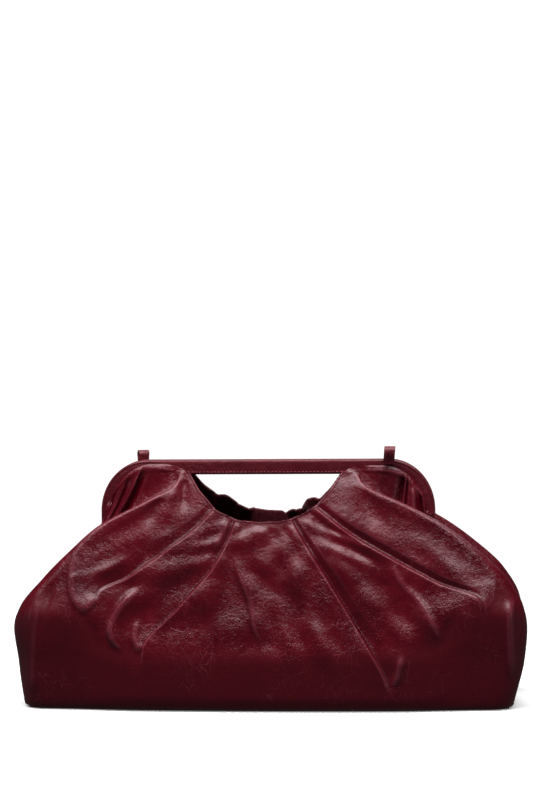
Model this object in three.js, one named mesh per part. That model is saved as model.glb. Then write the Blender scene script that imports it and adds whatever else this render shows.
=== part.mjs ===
// Pleated leather frame clutch: two hinged, leather-wrapped half frames whose top bars are the handle,
// and a soft body of front, back, base and two gussets gathered onto them. Millimetres, +Z up, +Y to the
// back, with the origin at the middle of the flat base.
import * as THREE from 'three';

// Driving dimensions.
const LEATHER = 1.8; // thickness of the body leather
const FACING = 1.2; // thickness of the strip that faces the neck edge
const SEAM_GAP = 0.35; // clearance between two pieces that are sewn together
const BASE_THICKNESS = 2.2;

const FRAME_HALF_WIDTH = 145;
const FRAME_TOP = 211;
const FRAME_FOOT = 150;
const FRAME_BAR = 12.3; // height of the handle bar
const FRAME_LEG = 9.5; // width of the legs, seen from the front
const FRAME_DEPTH = 8.2; // front to back, each half
const FRAME_EDGE_ROUND = 2.2;
const FRAME_CORNER_X = 46;
const FRAME_CORNER_Z = 52;
const FRAME_FACE = SEAM_GAP / 2 + FRAME_DEPTH; // how far each outer face lies from the middle plane

const HINGE_WIDTH = 8;
const HINGE_HEIGHT = 5;
const HINGE_DEPTH = 14;

const LOOP_WIDTH = 9.5;
const LOOP_GAP = 5; // inside the strap loops, front to back
const LOOP_FOOT = 206.6;
const LOOP_FRONT = { x: 104.5, top: 222 };
const LOOP_BACK = { x: -112, top: 218 };

const FACING_RISE = 1.1; // how far the facing stands above the neck edge

// Half of the body's depth at each height, through the middle of the front panel, which bows back towards
// its sides.
const PANEL_BOW = 8;
const PANEL_BOW_WIDTH = 205;
const DEPTH_ROWS = [
  { height: 0, depth: 57 },
  { height: 4, depth: 61.5 },
  { height: 14, depth: 63.5 },
  { height: 46, depth: 64 },
  { height: 90, depth: 57 },
  { height: 130, depth: 46 },
  { height: 158, depth: 33 },
  { height: 186, depth: 19.5 },
  { height: 200, depth: 14.4 },
  { height: 214, depth: FRAME_FACE + 2 * (SEAM_GAP + LEATHER) + 1 },
];

// The fold between the front panel and the gussets: run goes from the shoulder on the frame, over the
// lip, to the base corner, and roll is the radius that the panel turns back with.
const SIDE_ROWS = [
  { run: 0, left: -77, right: 75, height: 205, roll: 2 },
  { run: 0.08, left: -79, right: 76.5, height: 196, roll: 3 },
  { run: 0.16, left: -88, right: 87, height: 188, roll: 4 },
  { run: 0.27, left: -113, right: 112, height: 177, roll: 5 },
  { run: 0.4, left: -145, right: 147, height: 158, roll: 6 },
  { run: 0.52, left: -169, right: 180, height: 135, roll: 8 },
  { run: 0.63, left: -191, right: 205, height: 112, roll: 10 },
  { run: 0.75, left: -211, right: 217, height: 87, roll: 13 },
  { run: 0.83, left: -218, right: 218, height: 68, roll: 15 },
  { run: 0.92, left: -215, right: 215, height: 37, roll: 17 },
  { run: 1, left: -209, right: 210, height: 2.4, roll: 19 },
];
const SIDE_TURN = 0.85; // sine of the angle that the roll turns through at the fold

// The front panel's pleats, left to right. Each rib runs from the neck edge (top) through mid and tip to
// the base edge (foot), and the lifts are how far it stands out of the panel there. A knife pleat is a
// groove beside a ridge.
const RIB_RUNS = { top: 0, mid: 0.4, tip: 0.75, foot: 1 };
const FOOT_HEIGHT = 0.6;
const RIB_COLUMNS = [
  'topX', 'topZ', 'midX', 'midZ', 'tipX', 'tipZ', 'footX', 'liftTop', 'liftMid', 'liftTip',
];
const RIB_ROWS = {
  left_shoulder: [-71, 200, -136, 152, -187, 84, -188, 0, 1, 0],
  left_lobe: [-62, 184, -112, 146, -166, 92, -170, 0.5, 3, 3.5],
  outer_left_groove: [-50.5, 171, -92, 133.5, -147, 94, -151, -1.5, -4, -2.5],
  outer_left_ridge: [-47, 167.5, -88.5, 130, -143, 91, -146, 1.5, 3, 1],
  left_puff: [-38, 163, -64, 124, -122, 72, -128, 0, 1.5, 4],
  inner_left_groove: [-31, 160, -49, 120.5, -108.5, 55, -113, -1.5, -4, -4],
  inner_left_ridge: [-28, 158.5, -45, 118, -104, 51.5, -108, 1.5, 3.5, 2],
  centre_left: [-20, 157.6, -32, 112, -56, 48, -60, 0, 0.5, 1],
  centre_ridge: [-11, 157, -20, 108, 0, 50, 6, 0.5, 2, 2.5],
  centre_valley: [-4, 156.7, -9, 108, 12, 48, 19, -0.5, -2.5, -2],
  centre_right: [8, 157, 14, 110, 45, 44, 52, 0.5, 1.5, 1.5],
  inner_right_ridge: [19, 159, 46, 117, 104.5, 28, 110, 1.5, 3.5, 2.5],
  inner_right_groove: [22, 160.3, 50, 119, 109, 30, 115, -1.5, -4, -4],
  right_puff: [30, 163.7, 72, 123, 130, 52, 138, 0, 1.5, 3],
  right_soft_fold: [34, 166.3, 88, 124, 150, 60, 158, 0, -1, 0.5],
  outer_right_ridge: [39, 169.5, 104, 127.5, 180, 88, 182, 1.5, 3, 1],
  outer_right_groove: [43, 171.6, 107, 131, 184, 92, 186.5, -1.5, -4, -2.5],
  right_lobe: [54, 184, 124, 145, 194, 95, 194, 0.5, 3, 2],
  right_shoulder: [64, 200, 136, 152, 202, 92, 200, 0, 1, 0],
};
const RIBS = Object.values(RIB_ROWS).map((row) => (
  Object.fromEntries(RIB_COLUMNS.map((name, i) => [name, row[i]]))
));

// A gusset, from the shoulder (turn 0), round the frame's corner into the pocket behind the lip, to its
// middle crease (turn 1): push moves its middle outwards, sink moves it down, gather is the height of the
// folds there, and tuck is how far its outer edge lies behind the panel's inner face.
const GUSSET_ROWS = [
  { turn: 0, push: 0, sink: 1, gather: 0, tuck: 0.4 },
  { turn: 0.1, push: 0, sink: 13, gather: 1, tuck: 2.4 },
  { turn: 0.25, push: -2, sink: 24, gather: 3.5, tuck: 2.4 },
  { turn: 0.4, push: -2, sink: 14, gather: 2, tuck: 2.4 },
  { turn: 0.5, push: -3, sink: 5, gather: 0.5, tuck: 2.4 },
  { turn: 0.625, push: 8, sink: -2, gather: 0, tuck: 2 },
  { turn: 0.75, push: 40, sink: -8, gather: 0, tuck: 0.4 },
  { turn: 1, push: 34, sink: -8, gather: 0, tuck: 0.4 },
];
const GUSSET_FRAME_END = 0.5; // the turn where the gusset leaves the frame's leg
const GUSSET_BASE_START = 0.75; // the turn where its outer edge reaches the base corner
const GUSSET_FRAME_INSET = 8; // from the frame's outline to the gusset's sewn edge, on the leg
const GUSSET_BAR_INSET = 5.5; // the same on the bar
const GUSSET_CREASE_TOP = 135;
const SEWN_START = 79; // where the sewn line starts on the bar, beside the shoulder
const SEWN_BAR_END = 0.22; // shares of the sewn line up to the corner, and past it
const SEWN_CORNER_END = 0.88;
const GATHER_FOLDS = 3;
const GUSSET_FULLNESS = { left: 1.07, right: 1.05 }; // how full each end is, as a share of push
const GUSSET_FOOT_DROP = 1.4; // the foot of each gusset hangs this much below the lifted base corners

// Mesh steps.
const PANEL_ROWS = 16;
const GUSSET_BASE_STEPS = 4; // along the base, for each half
const GUSSET_STEPS = 8;
const NORMAL_REACH = 0.01; // step either way that a gusset's normal is measured over

// Smooth curve through the points (at, value), which never overshoots between two of them.
function curveThrough(at, value) {
  const last = at.length - 1;
  const chord = at.slice(1).map((a, i) => (value[i + 1] - value[i]) / (a - at[i]));
  const slope = at.map((_, i) => {
    if (i === 0) return chord[0];
    if (i === last) return chord[last - 1];
    const before = chord[i - 1];
    const after = chord[i];
    return before * after <= 0 ? 0 : (2 * before * after) / (before + after);
  });
  return (x) => {
    const held = Math.min(Math.max(x, at[0]), at[last]);
    let i = 0;
    while (i < last - 1 && held > at[i + 1]) i += 1;
    const width = at[i + 1] - at[i];
    const t = (held - at[i]) / width;
    const ease = t * t * (3 - 2 * t);
    const leave = t * (1 - t) * (1 - t) * width;
    const arrive = t * t * (t - 1) * width;
    return value[i] * (1 - ease) + value[i + 1] * ease + slope[i] * leave + slope[i + 1] * arrive;
  };
}

// One named column of a table, as a smooth function of its key column.
function column(rows, key, name) {
  return curveThrough(rows.map((row) => row[key]), rows.map((row) => row[name]));
}

const depthAt = column(DEPTH_ROWS, 'height', 'depth');
const sideLeft = column(SIDE_ROWS, 'run', 'left');
const sideRight = column(SIDE_ROWS, 'run', 'right');
const sideHeight = column(SIDE_ROWS, 'run', 'height');
const sideRoll = column(SIDE_ROWS, 'run', 'roll');

// Each rib as functions of run; the two side folds are the first and the last rib.
const RUNS = Object.values(RIB_RUNS);
const sideRib = (x) => ({ x, z: sideHeight, lift: () => 0 });
const PLEAT_RIBS = [
  sideRib(sideLeft),
  ...RIBS.map((rib) => ({
    x: curveThrough(RUNS, [rib.topX, rib.midX, rib.tipX, rib.footX]),
    z: curveThrough(RUNS, [rib.topZ, rib.midZ, rib.tipZ, FOOT_HEIGHT]),
    lift: curveThrough(RUNS, [rib.liftTop, rib.liftMid, rib.liftTip, 0]),
  })),
  sideRib(sideRight),
];

// Each rib's place from 0 to 1 across the panel, by the distances between the ribs half way down.
const RIB_PLACES = PLEAT_RIBS.reduce((places, rib, i) => {
  if (i === 0) return [0];
  const before = PLEAT_RIBS[i - 1];
  const step = Math.hypot(
    rib.x(RIB_RUNS.mid) - before.x(RIB_RUNS.mid),
    rib.z(RIB_RUNS.mid) - before.z(RIB_RUNS.mid),
  );
  return [...places, places[i - 1] + step];
}, []).map((place, _, all) => place / all[all.length - 1]);

// A point of the front panel at place across and run down, set in from its outer face.
function panelPoint(place, run, inset) {
  const across = (name) => curveThrough(RIB_PLACES, PLEAT_RIBS.map((rib) => rib[name](run)))(place);
  const x = across('x');
  const z = across('z');
  const roll = sideRoll(run);
  const toSide = Math.min(
    Math.hypot(x - sideLeft(run), z - sideHeight(run)),
    Math.hypot(x - sideRight(run), z - sideHeight(run)),
  );
  const turned = SIDE_TURN * Math.max(0, 1 - toSide / roll);
  const bow = PANEL_BOW * (x / PANEL_BOW_WIDTH) ** 2 * Math.min(1, depthAt(z) / depthAt(0));
  const depth = depthAt(z) - bow - roll * (1 - Math.sqrt(1 - turned * turned));
  const lean = (depthAt(z + 1) - depthAt(z - 1)) / 2;
  const normal = new THREE.Vector3(0, -1, -lean).normalize();
  return new THREE.Vector3(x, -depth, z).addScaledVector(normal, across('lift') - inset);
}

// The same point mirrored front to back, onto the back panel.
const toBack = (p) => new THREE.Vector3(p.x, -p.y, p.z);

// A closed wall between two skins, each a function of a column and a row of the same grid.
function wall(columns, rows, outer, inner) {
  const points = [];
  [outer, inner].forEach((skin) => {
    columns.forEach((c) => rows.forEach((r) => points.push(skin(c, r))));
  });
  const across = columns.length;
  const down = rows.length;
  const at = (side, c, r) => (side * across + c) * down + r;
  const faces = [];
  const quad = (a, b, c, d) => faces.push(a, b, c, a, c, d);
  for (let c = 0; c < across - 1; c += 1) {
    for (let r = 0; r < down - 1; r += 1) {
      quad(at(0, c, r), at(0, c, r + 1), at(0, c + 1, r + 1), at(0, c + 1, r));
      quad(at(1, c, r), at(1, c + 1, r), at(1, c + 1, r + 1), at(1, c, r + 1));
    }
    quad(at(0, c, 0), at(0, c + 1, 0), at(1, c + 1, 0), at(1, c, 0));
    quad(at(0, c, down - 1), at(1, c, down - 1), at(1, c + 1, down - 1), at(0, c + 1, down - 1));
  }
  for (let r = 0; r < down - 1; r += 1) {
    quad(at(0, 0, r), at(1, 0, r), at(1, 0, r + 1), at(0, 0, r + 1));
    quad(at(0, across - 1, r), at(0, across - 1, r + 1), at(1, across - 1, r + 1), at(1, across - 1, r));
  }
  const volume = faces.reduce((sum, _, i) => {
    if (i % 3) return sum;
    const [a, b, c] = [points[faces[i]], points[faces[i + 1]], points[faces[i + 2]]];
    return sum + a.dot(new THREE.Vector3().crossVectors(b, c));
  }, 0);
  if (volume < 0) faces.reverse();
  const geometry = new THREE.BufferGeometry().setFromPoints(points);
  geometry.setIndex(faces);
  geometry.computeVertexNormals();
  return geometry;
}

const steps = (count, from = 0, to = 1) => (
  Array.from({ length: count + 1 }, (_, i) => from + ((to - from) * i) / count)
);

// Columns of the panel's grid: every rib, and one or two steps between ribs that lie far apart.
const WIDE_RIB_SPACING = 0.045;
const PANEL_PLACES = RIB_PLACES.flatMap((place, i) => {
  if (i === 0) return [place];
  const before = RIB_PLACES[i - 1];
  const parts = Math.min(3, 1 + Math.floor((place - before) / WIDE_RIB_SPACING));
  return steps(parts, before, place).slice(1);
});
const PANEL_RUNS = steps(PANEL_ROWS);

// The front panel, or the back one where onto mirrors it.
function panel(onto) {
  return wall(
    PANEL_PLACES,
    PANEL_RUNS,
    (place, run) => onto(panelPoint(place, run, 0)),
    (place, run) => onto(panelPoint(place, run, LEATHER)),
  );
}

// The strip that faces the inside of a panel's neck edge, just proud of it.
const NECK_PLACES = PANEL_PLACES.filter((place) => place > RIB_PLACES[1] && place < RIB_PLACES[RIBS.length]);

function neckFacing(onto) {
  const skin = (inset) => (place, rise) => {
    const edge = panelPoint(place, 0, inset);
    const below = panelPoint(place, PANEL_RUNS[1], inset);
    const up = edge.clone().sub(below).normalize();
    return onto(rise ? edge.addScaledVector(up, rise) : below);
  };
  const outer = LEATHER + SEAM_GAP;
  return wall(NECK_PLACES, [FACING_RISE, 0], skin(outer), skin(outer + FACING));
}

// The line on the front half frame that the gusset is sewn to, from the shoulder (0) to the leg's foot (1).
function sewnLine(along) {
  const legX = FRAME_HALF_WIDTH - GUSSET_FRAME_INSET;
  const barZ = FRAME_TOP - GUSSET_BAR_INSET;
  const centreX = FRAME_HALF_WIDTH - FRAME_CORNER_X;
  const centreZ = FRAME_TOP - FRAME_CORNER_Z;
  if (along < SEWN_BAR_END) return [SEWN_START + ((centreX - SEWN_START) * along) / SEWN_BAR_END, barZ];
  if (along > SEWN_CORNER_END) {
    const downLeg = (along - SEWN_CORNER_END) / (1 - SEWN_CORNER_END);
    return [legX, centreZ - (centreZ - FRAME_FOOT) * downLeg];
  }
  const angle = ((along - SEWN_BAR_END) / (SEWN_CORNER_END - SEWN_BAR_END)) * (Math.PI / 2);
  return [centreX + (legX - centreX) * Math.sin(angle), centreZ + (barZ - centreZ) * Math.cos(angle)];
}

const gussetPush = column(GUSSET_ROWS, 'turn', 'push');
const gussetSink = column(GUSSET_ROWS, 'turn', 'sink');
const gussetGather = column(GUSSET_ROWS, 'turn', 'gather');
const gussetTuck = column(GUSSET_ROWS, 'turn', 'tuck');

// A point of a gusset's outer face. side is 1 on the right and -1 on the left, around goes from -1 at the
// front shoulder through 0 at the crease to 1 at the back shoulder, and out from 0 at the frame to 1 at
// the outer edge.
function gussetPoint(side, around, out) {
  const turn = 1 - Math.abs(around);
  const face = around < 0 ? -1 : 1;
  const sewnDepth = FRAME_FACE + SEAM_GAP + LEATHER;
  const onFrame = Math.min(1, turn / GUSSET_FRAME_END);
  const underHinge = (Math.max(0, (turn - GUSSET_FRAME_END) / (1 - GUSSET_FRAME_END)) * Math.PI) / 2;
  const [sewnX, sewnZ] = sewnLine(onFrame);
  const sewn = new THREE.Vector3(
    side * sewnX,
    face * sewnDepth * Math.cos(underHinge),
    sewnZ + (GUSSET_CREASE_TOP - FRAME_FOOT) * Math.sin(underHinge),
  );
  const run = Math.min(1, turn / GUSSET_BASE_START);
  const alongBase = Math.max(0, (turn - GUSSET_BASE_START) / (1 - GUSSET_BASE_START));
  const inset = LEATHER + gussetTuck(turn);
  const front = panelPoint(side > 0 ? 1 : 0, run, inset);
  const [near, far] = face < 0 ? [front, toBack(front)] : [toBack(front), front];
  const edge = near.clone().lerp(far, alongBase / 2);
  edge.z -= GUSSET_FOOT_DROP * Math.sin((alongBase * Math.PI) / 2);
  const middle = sewn.clone().add(edge).multiplyScalar(0.5);
  const folds = Math.sin(GATHER_FOLDS * 2 * Math.PI * onFrame);
  const fullness = side > 0 ? GUSSET_FULLNESS.right : GUSSET_FULLNESS.left;
  middle.x += side * fullness * gussetPush(turn);
  middle.y += face * folds * gussetGather(turn);
  middle.z -= gussetSink(turn);
  const control = middle.clone().multiplyScalar(2).addScaledVector(sewn, -0.5).addScaledVector(edge, -0.5);
  return new THREE.QuadraticBezierCurve3(sewn, control, edge).getPoint(out);
}

// The same point set in by an amount along the face's normal.
function gussetInset(side, around, out, inset) {
  const reach = NORMAL_REACH;
  const step = (a, o) => gussetPoint(side, THREE.MathUtils.clamp(a, -1, 1), THREE.MathUtils.clamp(o, 0, 1));
  const alongTurn = step(around + reach, out).sub(step(around - reach, out));
  const alongOut = step(around, out + reach).sub(step(around, out - reach));
  const normal = new THREE.Vector3().crossVectors(alongOut, alongTurn).normalize();
  return gussetPoint(side, around, out).addScaledVector(normal, side * -inset);
}

// Its columns meet the panels' rows along the folds.
const FRONT_TURNS = [
  ...PANEL_RUNS.slice(1).map((run) => run * GUSSET_BASE_START - 1),
  ...steps(GUSSET_BASE_STEPS, GUSSET_BASE_START - 1, 0).slice(1),
];
const BACK_TURNS = FRONT_TURNS.slice(0, -1).reverse().map((around) => -around);

function gusset(side) {
  return wall(
    [...FRONT_TURNS, ...BACK_TURNS],
    steps(GUSSET_STEPS),
    (around, out) => gussetPoint(side, around, out),
    (around, out) => gussetInset(side, around, out, LEATHER),
  );
}

// The flat base inside the foot of the four walls.
function base() {
  const inset = LEATHER + 2 * SEAM_GAP;
  const front = PANEL_PLACES.map((place) => {
    const foot = panelPoint(place, 1, inset);
    return new THREE.Vector2(foot.x, foot.y);
  });
  const back = front.map((p) => new THREE.Vector2(p.x, -p.y)).reverse();
  const outline = new THREE.Shape([...front, ...back]);
  return new THREE.ExtrudeGeometry(outline, { depth: BASE_THICKNESS, bevelEnabled: false });
}

// Half of the frame: an inverted U with rounded corners, drawn flat and then stood up.
function halfFrame() {
  const round = FRAME_EDGE_ROUND;
  const width = FRAME_HALF_WIDTH - round;
  const top = FRAME_TOP - round;
  const foot = FRAME_FOOT + round;
  const cornerX = FRAME_CORNER_X - round;
  const cornerZ = FRAME_CORNER_Z - round;
  const leg = FRAME_LEG - 2 * round;
  const bar = FRAME_BAR - 2 * round;
  const innerX = cornerX - leg;
  const innerZ = cornerZ - bar;
  const outline = new THREE.Shape();
  outline.moveTo(-width, foot);
  outline.lineTo(-width + leg, foot);
  outline.lineTo(-width + leg, top - cornerZ);
  outline.absellipse(-width + cornerX, top - cornerZ, innerX, innerZ, Math.PI, Math.PI / 2, true);
  outline.lineTo(width - cornerX, top - bar);
  outline.absellipse(width - cornerX, top - cornerZ, innerX, innerZ, Math.PI / 2, 0, true);
  outline.lineTo(width - leg, foot);
  outline.lineTo(width, foot);
  outline.lineTo(width, top - cornerZ);
  outline.absellipse(width - cornerX, top - cornerZ, cornerX, cornerZ, 0, Math.PI / 2, false);
  outline.lineTo(-width + cornerX, top);
  outline.absellipse(-width + cornerX, top - cornerZ, cornerX, cornerZ, Math.PI / 2, Math.PI, false);
  const geometry = new THREE.ExtrudeGeometry(outline, {
    depth: FRAME_DEPTH - 2 * round,
    bevelThickness: round,
    bevelSize: round,
    bevelSegments: 2,
    curveSegments: 7,
  });
  return geometry.translate(0, 0, round).rotateX(Math.PI / 2);
}

// A strap loop: a strip folded over and sewn to the outer face of a bar, standing up above it.
function strapLoop(top) {
  const outerRadius = LOOP_GAP / 2 + LEATHER;
  const innerRadius = LOOP_GAP / 2;
  const bend = top - outerRadius;
  const profile = new THREE.Shape();
  profile.moveTo(-outerRadius, LOOP_FOOT);
  profile.lineTo(-innerRadius, LOOP_FOOT);
  profile.lineTo(-innerRadius, bend);
  profile.absarc(0, bend, innerRadius, Math.PI, 0, true);
  profile.lineTo(innerRadius, LOOP_FOOT);
  profile.lineTo(outerRadius, LOOP_FOOT);
  profile.lineTo(outerRadius, bend);
  profile.absarc(0, bend, outerRadius, 0, Math.PI, false);
  const strip = new THREE.ExtrudeGeometry(profile, {
    depth: LOOP_WIDTH,
    bevelEnabled: false,
    curveSegments: 8,
  });
  return strip.translate(0, 0, -LOOP_WIDTH / 2).rotateY(Math.PI / 2).rotateX(Math.PI / 2);
}

const bodyLeather = new THREE.MeshStandardMaterial({ color: 0x4d0d18, roughness: 0.32, metalness: 0 });
const frameLeather = new THREE.MeshStandardMaterial({ color: 0x561321, roughness: 0.38, metalness: 0 });
const facingLeather = new THREE.MeshStandardMaterial({ color: 0x5a1a26, roughness: 0.5, metalness: 0 });
const hingeMetal = new THREE.MeshStandardMaterial({ color: 0x8a8580, roughness: 0.35, metalness: 0.9 });

function piece(name, geometry, material) {
  const mesh = new THREE.Mesh(geometry, material.clone());
  mesh.name = name;
  return mesh;
}

const toFront = (p) => p;
const clutch = new THREE.Group();

const body = new THREE.Group();
body.add(piece('front_panel', panel(toFront), bodyLeather));
body.add(piece('back_panel', panel(toBack), bodyLeather));
body.add(piece('gusset_right', gusset(1), bodyLeather));
body.add(piece('gusset_left', gusset(-1), bodyLeather));
body.add(piece('base_panel', base(), bodyLeather));
body.add(piece('neck_facing_front', neckFacing(toFront), facingLeather));
body.add(piece('neck_facing_back', neckFacing(toBack), facingLeather));
clutch.add(body);

const frame = new THREE.Group();
const frameFront = piece('frame_front', halfFrame(), frameLeather);
const frameBack = piece('frame_back', halfFrame(), frameLeather);
frameFront.position.y = -SEAM_GAP / 2;
frameBack.position.y = SEAM_GAP / 2 + FRAME_DEPTH;
frame.add(frameFront, frameBack);
[['hinge_right', 1], ['hinge_left', -1]].forEach(([name, side]) => {
  const block = new THREE.BoxGeometry(HINGE_WIDTH, HINGE_DEPTH, HINGE_HEIGHT);
  const hinge = piece(name, block, hingeMetal);
  hinge.position.x = side * (FRAME_HALF_WIDTH - FRAME_LEG / 2);
  hinge.position.z = FRAME_FOOT - SEAM_GAP - HINGE_HEIGHT / 2;
  frame.add(hinge);
});
clutch.add(frame);

// The two loops stand on opposite faces of the frame, at its front right and its back left.
const loopReach = FRAME_FACE + SEAM_GAP + LEATHER + LOOP_GAP / 2;
const loopFront = piece('strap_loop_front', strapLoop(LOOP_FRONT.top), frameLeather);
loopFront.position.set(LOOP_FRONT.x, -loopReach, 0);
const loopBack = piece('strap_loop_back', strapLoop(LOOP_BACK.top), frameLeather);
loopBack.position.set(LOOP_BACK.x, loopReach, 0);
clutch.add(loopFront, loopBack);

export default clutch;
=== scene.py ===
import bpy
import numpy as np
from mathutils import Matrix


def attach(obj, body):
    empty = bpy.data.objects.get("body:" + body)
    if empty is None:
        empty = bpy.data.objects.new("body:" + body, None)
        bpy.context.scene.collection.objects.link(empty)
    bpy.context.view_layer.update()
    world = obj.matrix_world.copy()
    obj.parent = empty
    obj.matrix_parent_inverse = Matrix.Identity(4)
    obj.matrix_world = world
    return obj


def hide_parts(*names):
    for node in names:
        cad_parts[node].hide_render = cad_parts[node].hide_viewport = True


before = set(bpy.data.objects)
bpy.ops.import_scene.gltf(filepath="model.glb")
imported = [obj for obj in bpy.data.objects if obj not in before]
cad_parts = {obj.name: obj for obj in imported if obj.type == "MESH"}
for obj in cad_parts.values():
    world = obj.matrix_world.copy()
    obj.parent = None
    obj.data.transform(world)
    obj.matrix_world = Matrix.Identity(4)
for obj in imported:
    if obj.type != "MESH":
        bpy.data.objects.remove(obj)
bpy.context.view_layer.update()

# Front and back panels.
# Each is one piece of glossy pull-up leather, gathered under a scooped neck edge in four knife pleats that
# fan out and die away above a plain foot, and its sides roll back into the gussets.
MM = 0.001
TINY = 1e-12
LEATHER = 1.8 * MM

# Half the depth by height, in the middle and at the two sides, where the upright foot reaches higher.
DEPTH = {
    "height": [0, 4, 14, 40, 46, 60, 80, 100, 130, 158, 186, 200, 208, 214],
    "middle": [57, 61.5, 64, 64.6, 64, 59.6, 53.8, 48.2, 40.5, 30.5, 19.5, 12.8, 10.9, 10.7],
    "side": [54, 57.6, 59.4, 61.6, 62.2, 64, 65.4, 58.8, 45.5, 32, 20, 12.8, 10.9, 10.7],
}
DEPTH_TURN = (105 * MM, 178 * MM)
BOW = 8 * MM
BOW_WIDTH = 205 * MM
LIP_REACH = 11 * MM

# The top of the plain upright foot, above which the leather is gathered and creased.
FOOT_TOP = {"x": [0, 80, 110, 140, 160, 190, 220], "height": [38, 40, 43, 50, 76, 90, 95]}
FOOT_BLEND = 20 * MM

# The side folds from the shoulder, round the curl beside the bar and down to the base corner: roll is the
# radius that the panel turns back with and turn the sine of how far it turns, lip is how far it swells out
# beside the fold, and wrap and wrap_angle are the radius and the angle of the turn behind it.
SIDES = {
    "run": [0, 0.03, 0.06, 0.09, 0.12, 0.16, 0.21, 0.27, 0.4, 0.52, 0.63, 0.75, 0.83, 0.92, 1],
    "left": [
        -72, -75.4, -77.3, -78.2, -80, -86.3, -97, -112, -145.5, -170.5, -193, -213, -217.5, -213.5, -210,
    ],
    "left_height": [199.7, 199, 197, 194.8, 191.8, 186, 180.6, 173.2, 156, 134.5, 112, 87, 68, 37, 2.4],
    "right": [64.8, 71.5, 75.2, 76.9, 79.4, 85.4, 96, 112, 147.5, 178, 201.5, 215, 217, 214, 206],
    "right_height": [
        199.8, 199.2, 197.4, 194.8, 191.4, 186.6, 181.6, 175, 156.8, 134.5, 112, 87, 68, 37, 2.4,
    ],
    "roll": [1.6, 1.6, 1.6, 1.7, 1.8, 1.9, 2, 2.2, 3, 7, 15, 23, 25, 23, 19],
    "turn": [0, 0.15, 0.4, 0.65, 0.8, 0.85, 0.85, 0.85, 0.85, 0.85, 0.85, 0.85, 0.85, 0.85, 0.85],
    "lip": [0, 0, 0.5, 1.1, 2, 3.2, 3.8, 4, 3.2, 1.6, 0.6, 0, 0, 0, 0],
    "wrap": [1.5, 1.6, 1.7, 1.8, 1.9, 2, 2.2, 2.4, 2.8, 4, 6, 9, 12, 14, 14],
    "wrap_angle": [0, 15, 40, 60, 72, 75, 75, 75, 70, 55, 40, 25, 15, 12, 10],
}

# The pleats as ribs, left to right: x and z at the neck edge, below it, half way down, lower and at the tip,
# and x at the foot.
RIB_RUNS = [0, 0.16, 0.4, 0.58, 0.75, 1]
FOOT_HEIGHT = 0.6
RIBS = {
    "left_shoulder": [-71.4, 199.6, -80.5, 181, -135, 151.5, -163, 124, -189, 98, -190],
    "left_lobe": [-62, 184, -75.5, 169.5, -113, 148, -145, 124, -172, 101, -174],
    "outer_left_bank": [-53.6, 174.6, -69, 160.6, -98, 143.6, -130, 123.5, -157, 100.5, -161],
    "outer_left_groove": [-49.6, 170, -64.2, 154.7, -90.7, 135, -119.7, 115, -145.8, 99.2, -151],
    "outer_left_ridge": [-47.5, 167.5, -62.5, 152.3, -89, 132.5, -118, 112.6, -144, 97, -146],
    "left_puff": [-38, 163, -47.3, 148.2, -70, 128, -98, 102, -125, 74, -130],
    "inner_left_bank": [-33.5, 161.1, -41, 145.7, -55, 125.3, -85, 94.2, -112.5, 59.6, -119],
    "inner_left_groove": [-30.2, 159.5, -36.4, 143.7, -48.6, 121.3, -78.2, 88, -107.4, 54.7, -113],
    "inner_left_ridge": [-28, 158.3, -34.3, 142.5, -46.5, 120, -76, 86.3, -105, 53, -108],
    "centre_left": [-20, 157.6, -24.3, 140.4, -32, 112, -45, 79, -56, 48, -60],
    "centre_ridge": [-11, 157, -15.5, 138.1, -20, 108, -11, 78, 0, 50, 6],
    "centre_valley": [-4, 156.7, -6.5, 138, -9, 108, 0, 78, 12, 48, 19],
    "centre_right": [8, 157, 10, 139.2, 14, 110, 29, 76, 45, 44, 52],
    "inner_right_ridge": [19, 159, 29.5, 141.2, 45.5, 116.5, 74.5, 70.4, 98, 28, 104],
    "inner_right_groove": [21.3, 160.2, 31.8, 142.6, 47.8, 117.9, 76.8, 71.9, 100.8, 29.4, 109],
    "inner_right_bank": [24.5, 161.5, 36.9, 144.8, 55, 121, 85, 77, 111.5, 36.4, 119],
    "right_puff": [30, 163.7, 45.9, 148.7, 72, 123, 101, 87, 130, 52, 138],
    "right_soft_fold": [34, 166.3, 54.9, 150.5, 88, 124, 122, 91.5, 150, 60, 158],
    "outer_right_ridge": [39.8, 169.3, 64.5, 150.8, 105, 126.8, 142, 107.6, 178, 91.5, 181],
    "outer_right_groove": [42.2, 171.5, 66, 153.5, 106.6, 129.5, 143.5, 110.3, 179.8, 94.2, 186],
    "outer_right_bank": [46, 175.5, 69.3, 158.5, 112, 134.4, 149, 114, 183.3, 96.1, 188],
    "right_lobe": [54, 184, 76.5, 169.5, 124, 145, 160, 122, 191, 97.5, 193],
    "right_shoulder": [64.3, 199.8, 80, 181, 136.5, 151.5, 172, 124, 202, 93, 200],
}

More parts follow.
